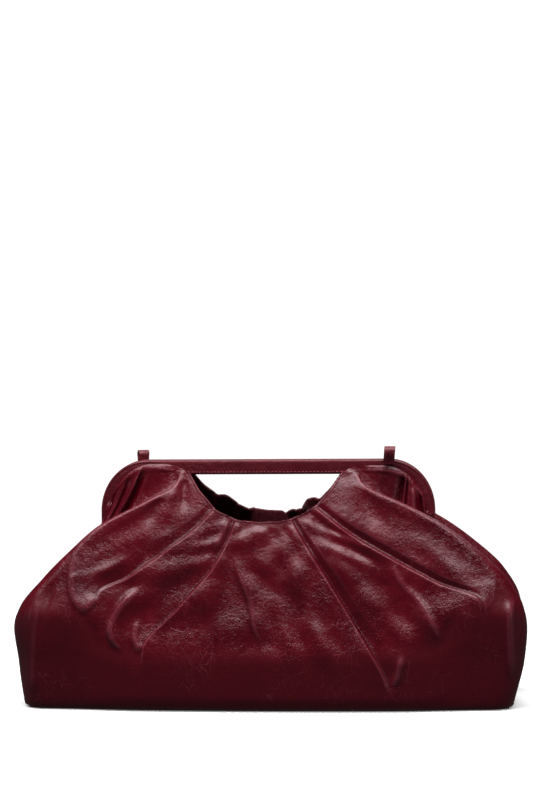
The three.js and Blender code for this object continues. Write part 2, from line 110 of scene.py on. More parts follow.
# How far each rib stands out at the neck edge, below it, half way down, lower and at the tip. A rib that
# isn't named lies flat.
LIFT_RUNS = [0, 0.16, 0.4, 0.58, 0.73, 0.86, 1]
LIFTS = {
    "left_shoulder": [0, 0, 1, 0.5, 0],
    "left_lobe": [0.3, 0, 0.5, 0.5, 0],
    "outer_left_bank": [0.2, 0, 0.4, 0.8, 0.4],
    "outer_left_groove": [-0.8, -1.4, -1.8, -1.2, -0.4],
    "outer_left_ridge": [1.2, 1.6, 2, 1.8, 0.6],
    "left_puff": [0, 0.3, 0.5, 1, 0.5],
    "inner_left_bank": [0.2, 0, -0.8, -1.6, -1],
    "inner_left_groove": [-0.8, -1.6, -2.2, -1.6, -0.6],
    "inner_left_ridge": [1.2, 1.8, 2.6, 2.2, 1],
    "inner_right_ridge": [1.2, 2, 2.8, 2.4, 1],
    "inner_right_groove": [-0.8, -1.6, -2, -2.4, -2],
    "inner_right_bank": [0.2, 0.4, 0.6, 0.4, 0.2],
    "outer_right_ridge": [1.2, 1.8, 2.2, 1.6, 0.4],
    "outer_right_groove": [-0.8, -1.8, -2.4, -1.8, -0.6],
    "outer_right_bank": [0.3, 1, 1.2, 0.8, 0.2],
    "right_lobe": [0.3, 0, 0.8, 0.6, 0.3],
    "right_shoulder": [0, 0, 1, 0.5, 0],
}
# Soft puffs: the middle, half the length and half the width, the way the length runs in degrees from straight
# down, to the right, and the height.
PUFFS = {
    "left_shoulder": [-100, 156, 24, 9, -52, 1.2],
    "left_between": [-92, 112, 18, 7, -46, 1.4],
    "neck": [-14, 144, 16, 10, 0, 1.4],
    "neck_left": [-38, 152, 9, 6, -20, 1],
    "neck_right": [33, 153, 9, 6, 24, 1],
    "centre_upper": [-54, 94, 24, 13, -24, 2.8],
    "centre_left": [-36, 72, 20, 11, -10, 0.8],
    "centre": [16, 68, 17, 8, 16, 3.4],
    "centre_high": [24, 108, 20, 8, 18, 3.2],
    "centre_low": [44, 62, 22, 9, 26, 3.4],
    "inner_high": [66, 120, 20, 8, 42, 2],
    "inner_middle": [88, 92, 20, 9, 42, 2.6],
    "inner_low": [112, 62, 16, 10, 36, 1.6],
    "soft_high": [112, 112, 20, 7, 46, 2],
    "soft_low": [134, 72, 15, 8, 34, 2.2],
    "right_upper": [150, 124, 30, 8, 52, 1.6],
    "right_tip": [176, 95, 10, 7, 60, 2.8],
}

# Folds drawn on top, each followed downwards: points of its line, its widths on the right and on the left of
# the line, its height, the shares of its length over which it swells and fades, and how much lighter its
# crest is painted, partly for scuffing and partly as a painted highlight.
LINE_STEPS = 24
RUB_AND_HIGHLIGHT_WIDTH = 1.7 * MM
LINES = {
    "left_upper_rim": [
        [-158, -166, -168.5, -167, -162, -156, -150, -144],
        [143, 130, 116, 102, 92, 87.5, 92, 99], 8, 3, 2.4, 0.35, 0.15, 1,
    ],
    "left_inner_rim": [
        [-106, -117, -125, -131.5, -134.3, -132.5, -127, -121],
        [107, 97.6, 89.5, 79.5, 70.5, 61.5, 55.5, 52], 8, 2.6, 3.2, 0.2, 0.3, 1.2,
    ],
    "left_pocket_rim": [[-108, -112, -113, -111, -106.5], [80, 72, 64, 56.5, 51], 3, 3.6, 2.2, 0.3, 0.2, 0.9],
    "centre_crease": [[-32, -22, -14, -10.5, 0], [134, 110, 90.4, 71, 54], 9, 3, 2.2, 0.3, 0.3, 0.2],
    "right_soft_edge": [[104, 112, 129, 143, 148], [128, 109, 91.5, 68.5, 57], 3, 10, 2.2, 0.3, 0.35, 0.4],
    "right_curl": [[114, 111.5, 109, 104.5], [50, 40, 29.4, 20], 3.2, 3, 2.2, 0.3, 0.35, 0.8],
    "right_upper_rim": [[186, 190.5, 190, 184, 175], [121, 108, 97, 90, 87.5], 3.4, 10, 0.8, 0.35, 0.3, 0.2],
    "left_side_crease": [[-181, -187, -193, -195], [114, 98, 76, 46], 3.5, 7, -2.6, 0.3, 0.45, 0],
    "left_corner": [[-190, -198, -202, -203.5], [106, 75, 40, 10], 6, 7, 2.2, 0.3, 0.2, 0.25],
    "right_edge": [[207, 204.5, 205.5, 206.5], [98, 78, 50, 24], 3.2, 4.5, 3.6, 0.25, 0.25, 0.7],
    "left_shoulder_dip": [[-75, -74, -72], [197, 182, 164], 5, 5, -2.4, 0.2, 0.4, 0],
    "left_shoulder_fold": [[-82, -88, -92], [189, 172, 152], 6, 5, 1.2, 0.2, 0.4, 0],
    "left_shoulder_dent": [[-95, -101, -104], [181, 168, 150], 6, 6, -1.8, 0.2, 0.4, 0],
    "right_shoulder_dip": [[82, 88, 96], [189, 172, 156], 6, 6, -1.2, 0.2, 0.4, 0],
}

# Soft buckles that run down the panel: how many, how tall, the cycles across and down, and how far from the
# side folds they fade in.
BUCKLES = 30
BUCKLE_HEIGHT = 0.45 * MM
BUCKLE_ACROSS = (3, 13)
BUCKLE_DOWN = (1.5, 6)
BUCKLE_SIDES = (15 * MM, 60 * MM)
BUCKLE_SEEDS = {"front": 1, "back": 4}

# Puffs, drawn folds and buckles fade out this close to the side folds, and over this run below the neck edge.
FREE_FROM_SIDE = 9 * MM
FREE_FROM_NECK = 0.06

# The back panel's neck edge isn't drawn down as far: how much higher it is, and how far it flares out, by x.
BACK_NECK = {
    "x": [-70, -60, -51, -41, -33, -22, -19, -10, 7, 11.4, 17.5, 25.7, 31.8, 38, 45, 60],
    "rise": [0, 3, 6, 11, 8.5, 5.5, 5.1, 4, 2.6, 0, 3.2, 0.5, 6, 4, 0, 0],
    "flare": [0, 0, 0, 0, 0, 0, 6, 7, 7, 6, 1, 4, 5, 3, 0, 0],
}
BACK_NECK_FADE = 0.25
BACK_FLARE_FADE = 0.11

# The panel's grid: the run at which the places across are measured, the steps across, down and behind the
# sides, how far the outermost steps are drawn to the side folds, and the step that gives the edge's way.
PLACES_RUN = 0.4
PANEL_STEP = 2.1 * MM
PLEAT_STEPS = 7
EDGE_PULL = 1.8
PANEL_ROWS = 160
WRAP_STEPS = 7
EDGE_STEP = 0.002

# The turn of the surface, per metre, that counts as a tight bend, and how much lighter the neck edge and
# the lips are painted, with the width and the runs of the lips' band: the neck edge for scuffing, the lips
# partly for scuffing and partly as a painted highlight.
TIGHT_BEND = 350
NECK_RUB = 0.4
LIP_RUB_AND_HIGHLIGHT = 0.6
LIP_RUB_AND_HIGHLIGHT_WIDTH = 1.1 * MM
LIP_RUB_AND_HIGHLIGHT_RUNS = (0.02, 0.08, 0.3, 0.5)


def curve(at, values, x):
    """Smooth curve through the points (at, values): in each stretch a cubic whose end slopes are the harmonic
    mean of the two chords that meet there, or nothing where they turn, so it never overshoots."""
    at, values = np.asarray(at, float), np.asarray(values, float)
    x = np.clip(np.asarray(x, float), at[0], at[-1])
    tail = (1,) * (values.ndim - 1)
    width = np.diff(at)
    chord = np.diff(values, axis=0) / width.reshape(-1, *tail)
    product = chord[:-1] * chord[1:]
    total = np.where(product > 0, chord[:-1] + chord[1:], 1)
    slope = np.concatenate([chord[:1], np.where(product > 0, 2 * product / total, 0), chord[-1:]])
    i = np.clip(np.searchsorted(at, x) - 1, 0, len(at) - 2)
    t = ((x - at[i]) / width[i]).reshape(x.shape + tail)
    step = width[i].reshape(x.shape + tail)
    ease = t * t * (3 - 2 * t)
    held = values[i] * (1 - ease) + values[i + 1] * ease
    return held + step * (slope[i] * t * (1 - t) ** 2 + slope[i + 1] * t * t * (t - 1))


def unit(v):
    """Each vector of an array divided by its length."""
    return v / np.maximum(np.linalg.norm(v, axis=-1, keepdims=True), TINY)


def dot(a, b):
    """The dot product of each pair of vectors, kept as a column."""
    return (a * b).sum(-1, keepdims=True)


def ease_between(low, high, x):
    """Nothing below low, one above high, and a smooth step between them."""
    t = np.clip((x - low) / (high - low), 0, 1)
    return t * t * (3 - 2 * t)


def side(name, runs):
    """One column of the side folds at these runs, in metres."""
    return curve(SIDES["run"], SIDES[name], runs) * MM


rib_rows = np.array(list(RIBS.values()))
lift_rows = np.array([LIFTS.get(name, [0] * 5) for name in RIBS])


def rib_grid(runs):
    """x, z and lift of every rib at these runs; the side folds are the first and the last rib."""
    foot = np.full(len(rib_rows), FOOT_HEIGHT)
    x = curve(RIB_RUNS, rib_rows[:, 0:11:2].T * MM, runs).T
    z = curve(RIB_RUNS, np.vstack([rib_rows[:, 1:10:2].T, foot]) * MM, runs).T
    lift = curve(LIFT_RUNS, np.pad(lift_rows, ((0, 0), (0, 2))).T * MM, runs).T
    x = np.vstack([side("left", runs), x, side("right", runs)])
    z = np.vstack([side("left_height", runs), z, side("right_height", runs)])
    return x, z, np.pad(lift, ((1, 1), (0, 0)))


mid_rib_x, mid_rib_z, _ = rib_grid(np.array([PLACES_RUN]))
rib_places = np.concatenate([[0], np.cumsum(np.hypot(np.diff(mid_rib_x[:, 0]), np.diff(mid_rib_z[:, 0])))])
rib_places = rib_places / rib_places[-1]


def puff_lift(x, z):
    """Sum of the puffs: each is a bell over the two distances along and across its own length."""
    x0, z0, long, wide, turn, height = np.array(list(PUFFS.values())).T[:, :, None, None]
    way_x, way_z = np.sin(np.radians(turn)), -np.cos(np.radians(turn))
    along = (x - x0 * MM) * way_x + (z - z0 * MM) * way_z
    across = (x - x0 * MM) * way_z - (z - z0 * MM) * way_x
    return (height * MM * np.exp(-((along / (long * MM)) ** 2) - (across / (wide * MM)) ** 2)).sum(0)


def line_lift(x, z):
    """Sum of the drawn folds, and how much lighter their crests are painted, partly for scuffing and partly
    as
    a painted highlight: each is a bell over the distance to a smooth line through its points, with its own
    width on each side of the line, and fades out at both ends."""
    lift, rub_and_highlight = 0 * x, 0 * x
    for line_x, line_z, right, left, height, swell, fade, crest_rub_and_highlight in LINES.values():
        at = np.linspace(0, 1, LINE_STEPS)
        points = curve(np.linspace(0, 1, len(line_x)), np.stack([line_x, line_z], -1) * MM, at)
        step = np.diff(points, axis=0)
        away = np.stack([x, z], -1)[..., None, :] - points[:-1]
        share = np.clip((away * step).sum(-1) / (step * step).sum(-1), 0, 1)
        away = away - share[..., None] * step
        reach = np.hypot(away[..., 0], away[..., 1])
        turn = step[:, 0] * away[..., 1] - step[:, 1] * away[..., 0]
        near = reach.argmin(-1)[..., None]
        reach, share, turn = (np.take_along_axis(v, near, -1)[..., 0] for v in (reach, share, turn))
        t = (near[..., 0] + share) / (LINE_STEPS - 1)
        bell = np.exp(-((reach / np.where(turn > 0, right * MM, left * MM)) ** 2))
        shown = ease_between(0, swell, t) * ease_between(0, fade, 1 - t)
        lift = lift + height * MM * bell * shown
        rub_and_highlight = rub_and_highlight + crest_rub_and_highlight * np.exp(-((reach / RUB_AND_HIGHLIGHT_WIDTH) ** 2)) * shown
    return lift, rub_and_highlight


def buckle_lift(places, runs, seed):
    """Sum of many faint waves of random phase that run mostly down the panel."""
    rng = np.random.default_rng(seed)
    across = rng.uniform(*BUCKLE_ACROSS, BUCKLES)[:, None, None]
    down = (rng.uniform(*BUCKLE_DOWN, BUCKLES) * rng.choice([-1, 1], BUCKLES))[:, None, None]
    phase = rng.uniform(0, 2 * np.pi, BUCKLES)[:, None, None]
    waves = np.sin(2 * np.pi * (across * places[:, None] + down * runs) + phase)
    return BUCKLE_HEIGHT * waves.sum(0) / np.sqrt(BUCKLES / 2)


def half_depth(x, z):
    """How far the panel lies from the middle plane: one curve by height in the middle and one at the sides,
    mixed by the distance from the middle."""
    height = np.array(DEPTH["height"]) * MM
    middle, side_depth = (curve(height, np.array(DEPTH[name]) * MM, z) for name in ("middle", "side"))
    return middle + (side_depth - middle) * ease_between(*DEPTH_TURN, np.abs(x))


def gathered(x, z):
    """Nothing on the plain upright foot, one above it, and a smooth step between them."""
    top = curve(np.array(FOOT_TOP["x"]) * MM, np.array(FOOT_TOP["height"]) * MM, np.abs(x))
    return ease_between(0, FOOT_BLEND, z - top)


def panel_face(places, runs, back=False):
    """Outer face of the front panel on a grid of places across and runs down: the ribs give x, z and lift,
    the depth curves and a bow give y, the sides swell into a lip and roll back, and the lift is laid square
    to the panel's slope. The back panel, drawn as if it were the front, has other buckles and a higher neck
    edge that flares out."""
    rib_x, rib_z, rib_lift = rib_grid(runs)
    x, z, lift = (curve(rib_places, values, places) for values in (rib_x, rib_z, rib_lift))
    flare = 0
    if back:
        neck_x = np.array(BACK_NECK["x"]) * MM
        rise, flare = (curve(neck_x, np.array(BACK_NECK[name]) * MM, x) for name in ("rise", "flare"))
        z = z + rise * (1 - ease_between(0, BACK_NECK_FADE, runs))
        flare = flare * (1 - ease_between(0, BACK_FLARE_FADE, runs))
    to_left = np.hypot(x - side("left", runs), z - side("left_height", runs))
    to_right = np.hypot(x - side("right", runs), z - side("right_height", runs))
    to_side = np.minimum(to_left, to_right)
    roll = side("roll", runs)
    turned = curve(SIDES["run"], SIDES["turn"], runs) * np.maximum(0, 1 - to_side / roll)
    flat = half_depth(x, z)
    bow = BOW * (x / BOW_WIDTH) ** 2 * np.minimum(1, flat / half_depth(x, 0 * z))
    lip = side("lip", runs) * np.exp(-((to_side / LIP_REACH) ** 2))
    depth = flat - bow + lip + flare - roll * (1 - np.sqrt(1 - turned**2))
    lean = (half_depth(x, z + MM) - half_depth(x, z - MM)) / (2 * MM)
    normal = unit(np.stack([0 * lean, -1 + 0 * lean, -lean], -1))
    free = ease_between(0, FREE_FROM_SIDE, to_side) * ease_between(0, FREE_FROM_NECK, runs)
    soft = puff_lift(x, z) + line_lift(x, z)[0]
    buckled = gathered(x, z) * ease_between(*BUCKLE_SIDES, to_side)
    soft = soft + buckle_lift(places, runs, BUCKLE_SEEDS["back" if back else "front"]) * buckled
    return np.stack([x, -depth, z], -1) + normal * (lift + soft * free)[..., None]


def side_wrap(which, runs):
    """The turn behind a side fold (which is -1 on the left, 1 on the right): arcs that carry on from the
    panel's edge, each step a column, and the direction in which the last one points."""
    places = np.array([0, EDGE_STEP]) if which < 0 else np.array([1, 1 - EDGE_STEP])
    edge, inner = panel_face(places, runs)
    along = unit(np.gradient(edge, axis=0))
    out = unit(edge - inner)
    out = unit(out - along * dot(out, along))
    normal = np.cross(along, out) * which
    angle = np.radians(curve(SIDES["run"], SIDES["wrap_angle"], runs))[:, None]
    radius = side("wrap", runs)[:, None]
    turn = angle * np.linspace(0, 1, WRAP_STEPS + 1)[1:, None, None]
    points = edge + radius * (np.sin(turn) * out - (1 - np.cos(turn)) * normal)
    return points, np.cos(angle) * out - np.sin(angle) * normal


def grid_normals(points):
    """The unit normal at each point of a grid, from its two tangents."""
    return unit(np.cross(np.gradient(points, axis=0), np.gradient(points, axis=1)))


def bend_of(points, normals):
    """How sharply the grid bends at each point, from -1 in a tight crease to 1 on a tight ridge: the larger
    of the turns of the normal per metre across and down, over that of a tight bend."""
    turns = []
    for axis in (0, 1):
        step, turn = np.gradient(points, axis=axis), np.gradient(normals, axis=axis)
        turns.append((step * turn).sum(-1) / np.maximum((step * step).sum(-1), TINY))
    across, down = turns
    return np.clip(np.where(np.abs(across) > np.abs(down), across, down) / TIGHT_BEND, -1, 1)


def add_piece(name, points, faces, values=None, sharp=50):
    """A mesh object at the origin, with smooth faces parted at edges sharper than so many degrees, and values
    at its points as attributes."""
    mesh = bpy.data.meshes.new(name)
    mesh.from_pydata(points.tolist(), [], faces.tolist() if hasattr(faces, "tolist") else faces)
    mesh.shade_smooth()
    mesh.set_sharp_from_angle(angle=np.radians(sharp))
    for key, value in (values or {}).items():
        mesh.attributes.new(key, "FLOAT", "POINT").data.foreach_set("value", value.ravel())
    piece = bpy.data.objects.new(name, mesh)
    bpy.context.scene.collection.objects.link(piece)
    return piece


def add_wall(name, outer, outward, thickness, rub_and_highlight=0):
    """A closed leather wall: the outer grid, the same grid set in along its normals, and a rim that joins
    them. outward is 1 where the grid's own normals point out, and -1 where they point in. The outer points
    keep the bend of the surface, more where crests are marked to be painted lighter, partly for scuffing and
    partly as a painted highlight, and all points how plain the leather is."""
    normals = grid_normals(outer) * outward
    inner = outer - normals * thickness
    inner[..., 2] = np.maximum(inner[..., 2], 0)
    index = np.arange(outer.shape[0] * outer.shape[1]).reshape(outer.shape[:2])
    skin = np.stack([index[:-1, :-1], index[1:, :-1], index[1:, 1:], index[:-1, 1:]], -1).reshape(-1, 4)
    ring = np.concatenate([index[:, 0], index[-1, 1:], index[-2::-1, -1], index[0, -2:0:-1]])
    rim = np.stack([ring, ring + index.size, np.roll(ring, -1) + index.size, np.roll(ring, -1)], -1)
    faces = np.concatenate([skin, skin[:, ::-1] + index.size, rim])
    bend = np.clip(bend_of(outer, normals) + rub_and_highlight, -1, 1)
    points = np.concatenate([outer.reshape(-1, 3), inner.reshape(-1, 3)])
    values = {
        "bend": np.concatenate([bend.ravel(), bend.ravel() * 0]),
        "plain": 1 - gathered(points[:, 0], points[:, 2]),
    }
    return add_piece(name, points, faces[:, ::outward], values)


class Shade:
    """A value, colour or vector in a material's node tree. Python's operators on it add Math nodes."""

    def __init__(self, tree, socket=None):
        self.tree = tree
        self.socket = socket

    def node(self, kind, settings=None, inputs=None, out=0):
        """Adds any node: its settings first, then the values or links of its sockets, and gives the named or
        numbered output."""
        made = self.tree.nodes.new(kind)
        for key, value in (settings or {}).items():
            setattr(made, key, value)
        for key, value in (inputs or {}).items():
            if isinstance(value, Shade):
                self.tree.links.new(value.socket, made.inputs[key])
            else:
                made.inputs[key].default_value = value
        return Shade(self.tree, made.outputs[out])

    def feed(self, socket):
        """Links this value to a socket of the shader."""
        self.tree.links.new(self.socket, socket)

    def math(self, operation, a, b=0.0):
        """One Math node."""
        return self.node("ShaderNodeMath", {"operation": operation}, {0: a, 1: b})

    def clamp(self):
        """The value held between 0 and 1."""
        return self.node("ShaderNodeClamp", None, {"Value": self})

    def step(self, low, high):
        """A smooth step from 0 at low to 1 at high."""
        return self.node(
            "ShaderNodeMapRange", {"interpolation_type": "SMOOTHSTEP"},
            {"Value": self, "From Min": low, "From Max": high},
        )

    def mix(self, a, b):
        """The colour a where this value is 0, and b where it is 1."""
        inputs = {0: self}
        for key, colour in ((6, a), (7, b)):
            inputs[key] = colour if isinstance(colour, Shade) else (*colour, 1)
        return self.node("ShaderNodeMix", {"data_type": "RGBA"}, inputs, 2)

    def __add__(self, other):
        return self.math("ADD", self, other)

    def __sub__(self, other):
        return self.math("SUBTRACT", self, other)

    def __rsub__(self, other):
        return self.math("SUBTRACT", other, self)

    def __mul__(self, other):
        return self.math("MULTIPLY", self, other)

    __radd__ = __add__
    __rmul__ = __mul__


def new_material(name):
    """A material, its shader, a start for its node maths, and its Object coordinates."""
    material = bpy.data.materials.new(name)
    material.use_nodes = True
    at = Shade(material.node_tree)
    place = at.node("ShaderNodeTexCoord", None, None, "Object")
    return material, material.node_tree.nodes["Principled BSDF"], at, place


SHINE_COLOUR = (1, 0.78, 0.83)
# Noises in the leather: scale, detail, distortion and roughness.
GRAIN = {
    "clouds": (16, 6, 0.4, 0.55),
    "mottle": (75, 7, 0.4, 0.55),
    "scuffs": (26, 3, 0.4, 0.55),
    "veined": (20, 2, 0.2, 0.55),
    "crinkle": (260, 5, 1.6, 0.62),
    "crinkled": (22, 2, 0, 0.55),
    "rumple": (46, 5, 0.7, 0.55),
    "fine_rumple": (115, 4, 0.6, 0.55),
}
# Cracks in the finish: scale and width.
HAIRLINES = (150, 0.03)
VEINS = (70, 0.012)


def leather(name, deep, bright, worn_and_highlight, wear_and_highlight, roughness, coat):
    """Pull-up leather: the colour clouds between deep and bright, fine creases and hairline scratches are
    lighter, tight ridges are painted lighter, partly for scuffing and partly as a painted highlight, tight
    creases are painted darker as painted shade, and pebbled grain and crinkles are bumps."""
    material, shader, at, place = new_material(name)
    bend = at.node("ShaderNodeAttribute", {"attribute_name": "bend"}, None, "Fac")
    plain = at.node("ShaderNodeAttribute", {"attribute_name": "plain"}, None, "Fac")
    worked = 1 - 0.7 * plain

    def noise(kind):
        scale, detail, distortion, rough = GRAIN[kind]
        values = {
            "Vector": place, "Scale": scale, "Detail": detail, "Roughness": rough, "Distortion": distortion,
        }
        return at.node("ShaderNodeTexNoise", None, values)

    clouds = noise("clouds").step(0.25, 0.75)
    mottle = noise("mottle").step(0.2, 0.8)
    drift = at.node("ShaderNodeTexNoise", None, {"Vector": place, "Scale": 34, "Detail": 3}, "Color")
    shifted = at.node(
        "ShaderNodeVectorMath", {"operation": "MULTIPLY_ADD"},
        {0: drift, 1: (0.02, 0.02, 0.02), 2: place},
    )

    def cracks(scale, width, where):
        values = {"Vector": where, "Scale": scale, "Randomness": 1.0}
        edge = at.node("ShaderNodeTexVoronoi", {"feature": "DISTANCE_TO_EDGE"}, values)
        return 1 - edge.step(0.0, width)

    slant = at.node(
        "ShaderNodeMapping", None,
        {"Vector": shifted, "Rotation": (0.3, 0.5, 0.9), "Scale": (1.0, 1.0, 0.35)},
    )
    hairlines = cracks(*HAIRLINES, slant) * noise("scuffs").step(0.5, 0.68)
    veins = cracks(*VEINS, shifted) * noise("veined").step(0.52, 0.68)
    scratches = (hairlines * 0.4 + veins * 0.35).clamp()
    # Tight ridges are painted lighter, partly for the scuffing of pull-up leather and partly as a painted
    # highlight; tight creases are painted darker, as painted shade.
    ridge = bend.step(0.1, 0.6)
    crease = (0 - bend).step(0.1, 0.8)
    tone = 0.5 + worked * (clouds * 0.6 + mottle * 0.4 - 0.5)
    colour = tone.mix(deep, bright)
    colour = (scratches * 0.5 + ridge * wear_and_highlight).clamp().mix(colour, worn_and_highlight)
    colour = (crease * 0.35).mix(colour, tuple(0.4 * c for c in deep))
    patchy = 0.1 * (mottle - 0.5) + 0.05 * (clouds - 0.5)
    rough = roughness + worked * patchy + 0.12 * scratches + 0.1 * plain
    pebbles = at.node("ShaderNodeTexVoronoi", {"feature": "SMOOTH_F1"}, {"Vector": place, "Scale": 900})
    crinkle = noise("crinkle") * (0.4 + 0.6 * noise("crinkled").step(0.4, 0.6))
    rumple = noise("rumple") * 1.3 + noise("fine_rumple") * 0.7
    relief = pebbles * 0.06 + worked * (crinkle * 0.85 + rumple) - hairlines * 0.12 - veins * 0.1
    bump = at.node(
        "ShaderNodeBump", None, {"Height": relief, "Strength": 0.55, "Distance": 0.0014}, "Normal"
    )
    colour.feed(shader.inputs["Base Color"])
    rough.clamp().feed(shader.inputs["Roughness"])
    bump.feed(shader.inputs["Normal"])
    shader.inputs["IOR"].default_value = 1.45
    shader.inputs["Specular Tint"].default_value = (*SHINE_COLOUR, 1)
    shader.inputs["Coat Weight"].default_value = coat
    shader.inputs["Coat Roughness"].default_value = 0.13
    return material


BODY_DEEP = (0.05, 0.0007, 0.004)
BODY_BRIGHT = (0.13, 0.0015, 0.0095)
# The lighter colour of scratches and of tight ridges; on the ridges it is partly scuffing and partly a
# painted highlight.
BODY_WORN_AND_HIGHLIGHT = (0.38, 0.09, 0.13)
body_leather = leather(
    "body_leather", BODY_DEEP, BODY_BRIGHT, BODY_WORN_AND_HIGHLIGHT, wear_and_highlight=0.15, roughness=0.3, coat=0.12
)

panel_runs = np.linspace(0, 1, PANEL_ROWS + 1)
rib_x, rib_z, _ = rib_grid(panel_runs)
rib_reach = np.hypot(np.diff(rib_x, axis=0), np.diff(rib_z, axis=0)).max(1)
panel_gaps = []
for gap, (start, end, reach) in enumerate(zip(rib_places[:-1], rib_places[1:], rib_reach)):
    share = np.linspace(0, 1, max(PLEAT_STEPS, round(reach / PANEL_STEP)), endpoint=False)
    if gap == 0:
        share = share**EDGE_PULL
    if gap == len(rib_reach) - 1:
        share = 1 - (1 - share) ** EDGE_PULL
    panel_gaps.append(start + (end - start) * share)
panel_places = np.concatenate([*panel_gaps, [1.0]])

TO_BACK = np.array([1, -1, 1])
lip_shown = ease_between(*LIP_RUB_AND_HIGHLIGHT_RUNS[:2], panel_runs) * (1 - ease_between(*LIP_RUB_AND_HIGHLIGHT_RUNS[2:], panel_runs))


def panel_with_sides(back):
    """The panel's face with the turns behind its two side folds."""
    face = panel_face(panel_places, panel_runs, back)
    left, right = (side_wrap(which, panel_runs)[0] for which in (-1, 1))
    return np.concatenate([left[::-1], face, right])


for onto, outward, end in ((np.ones(3), -1, "front"), (TO_BACK, 1, "back")):
    face = panel_with_sides(outward > 0) * onto
    face[..., 2] = np.maximum(face[..., 2], FOOT_HEIGHT * MM)
    # Crests to be painted lighter: along the drawn folds and the lips partly for scuffing and partly as a
    # painted highlight, along the neck edge for scuffing.
    rub_and_highlight = line_lift(face[..., 0], face[..., 2])[1]
    rub_and_highlight[:, 0] += NECK_RUB
    for fold in (face[WRAP_STEPS], face[-1 - WRAP_STEPS]):
        to_fold = np.linalg.norm(face - fold, axis=-1)
        rub_and_highlight += LIP_RUB_AND_HIGHLIGHT * np.exp(-((to_fold / LIP_RUB_AND_HIGHLIGHT_WIDTH) ** 2)) * lip_shown
    panel = add_wall(f"{end}_panel_leather", face, outward, LEATHER, rub_and_highlight)
    panel.data.materials.append(body_leather)
    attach(panel, "root")
    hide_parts(f"{end}_panel")

# Gussets.
# Each end of the bag is a full piece of the same leather: sewn in gathers to the face of the frame's corner,
# it dips into a pocket behind the lip of the panel and is folded in along an upright crease.
FRAME_FACE = 8.375 * MM
SEWN_DEPTH = FRAME_FACE + 2.15 * MM
# The turns where a gusset starts, leaves the frame's leg, and meets the base corner.
GUSSET_START = 0.004
GUSSET_FRAME_END = 0.5
GUSSET_BASE_START = 0.75
# The line on the frame that it is sewn to, how fast it climbs onto the bar, and the rim and ridge beside it.
SEWN = {
    -1: {"start_x": 71.8, "start_z": 199.8, "corner_x": 101, "leg_x": 141, "bar_z": 207.2},
    1: {"start_x": 64.6, "start_z": 199.9, "corner_x": 97, "leg_x": 136, "bar_z": 205.2},
}
SEWN_CLIMB = {-1: 3.2, 1: 6}
SEWN_CORNER_Z = 159 * MM
SEWN_FOOT_Z = 150 * MM
RIM_OUT = 1 * MM
RIM_RISE = 1.2 * MM
RIM_HOLD = (6 * MM, 30 * MM)
RIM_TURNS = (0.04, 0.12)
RIM_RIDGE = 0.8 * MM
RIM_RIDGE_AT = 4.2 * MM
RIM_RIDGE_WIDTH = 1.7 * MM
SEWN_BAR_END = 0.22
SEWN_CORNER_END = 0.88
CREASE_DROP = 15 * MM
FOOT_DROP = 1.4 * MM
FOOT_FLARE = 0.2
FOOT_UPRIGHT = (0.64, 0.8)

# By turn, from the shoulder to the middle crease: how far the middle is pushed out, set back and sunk.
GUSSET = {
    "turn": [0, 0.04, 0.08, 0.13, 0.2, 0.28, 0.4, 0.5, 0.625, 0.75, 1],
    "push": [0, 0, 0, 0, -1, -2, -2, -3, 5, 26, 22],
    "back": [0, 0.2, 0.5, 1, 1.5, 2, 2, 1.5, 0, 0, 0],
    "sink": [0, 0.6, 4, 10, 16, 18, 14, 8, -2, -8, -8],
}

# Where each turn meets the panel's side and the frame, so that the gathers run along the turns: on the left
# they lean outwards on their way down.
GATHER_TURN = [0, 0.05, 0.3, 0.4, 0.5, 1]
GATHER_FRAME = {-1: [0, 0.04, 0.16, 0.36, 0.5, 1], 1: [0, 0.05, 0.31, 0.41, 0.5, 1]}
GATHER_SIDE = {-1: [0, 0.06, 0.4, 0.44, 0.5, 1], 1: [0, 0.05, 0.28, 0.385, 0.5, 1]}

# Gathers in the pockets: the turn, the widths before and after it, and how far the leather is pushed in, or
# stands out where that is negative; and the shares of the way to the frame over which they swell and fade.
GATHERS = {
    -1: {
        "inner_dip": [0.29, 0.04, 0.006, 5],
        "ridge": [0.304, 0.006, 0.009, -4],
        "middle_dip": [0.335, 0.009, 0.005, 3],
        "outer_dip": [0.37, 0.009, 0.006, 2.2],
    },
    1: {
        "inner_dip": [0.212, 0.02, 0.006, 5],
        "second_dip": [0.23, 0.006, 0.006, 3],
        "ridge": [0.262, 0.018, 0.022, -4],
        "middle_dip": [0.31, 0.025, 0.007, 4],
        "outer_dip": [0.375, 0.014, 0.01, 2.4],
    },
}
GATHER_SWELL = (0.1, 0.35)
GATHER_FADE = (0.84, 1)
GUSSET_POCKET_TURNS = 230
GUSSET_END_TURNS = 80
GUSSET_ROWS = 56


def sewn_line(which, along):
    """x and z of the line on the frame that the gusset is sewn to: rising onto the bar and along it, a
    quarter of an ellipse round the corner, then straight down the leg."""
    s = {key: value * MM for key, value in SEWN[which].items()}
    on_bar = np.clip(along / SEWN_BAR_END, 0, 1)
    angle = np.pi / 2 * np.clip((along - SEWN_BAR_END) / (SEWN_CORNER_END - SEWN_BAR_END), 0, 1)
    on_leg = np.clip((along - SEWN_CORNER_END) / (1 - SEWN_CORNER_END), 0, 1)
    x = s["start_x"] + (s["corner_x"] - s["start_x"]) * on_bar + (s["leg_x"] - s["corner_x"]) * np.sin(angle)
    climb = 1 - (1 - on_bar) ** SEWN_CLIMB[which]
    z = SEWN_CORNER_Z + (s["bar_z"] - SEWN_CORNER_Z) * np.cos(angle) - (SEWN_CORNER_Z - SEWN_FOOT_Z) * on_leg
    return x, z - (s["bar_z"] - s["start_z"]) * (1 - climb)


def hermite(start, leave, end, arrive, t):
    """The cubic from start to end that leaves and arrives with the given slopes."""
    t = t[:, None, None]
    ease = t * t * (3 - 2 * t)
    return start * (1 - ease) + end * ease + leave * t * (1 - t) ** 2 + arrive * t * t * (t - 1)


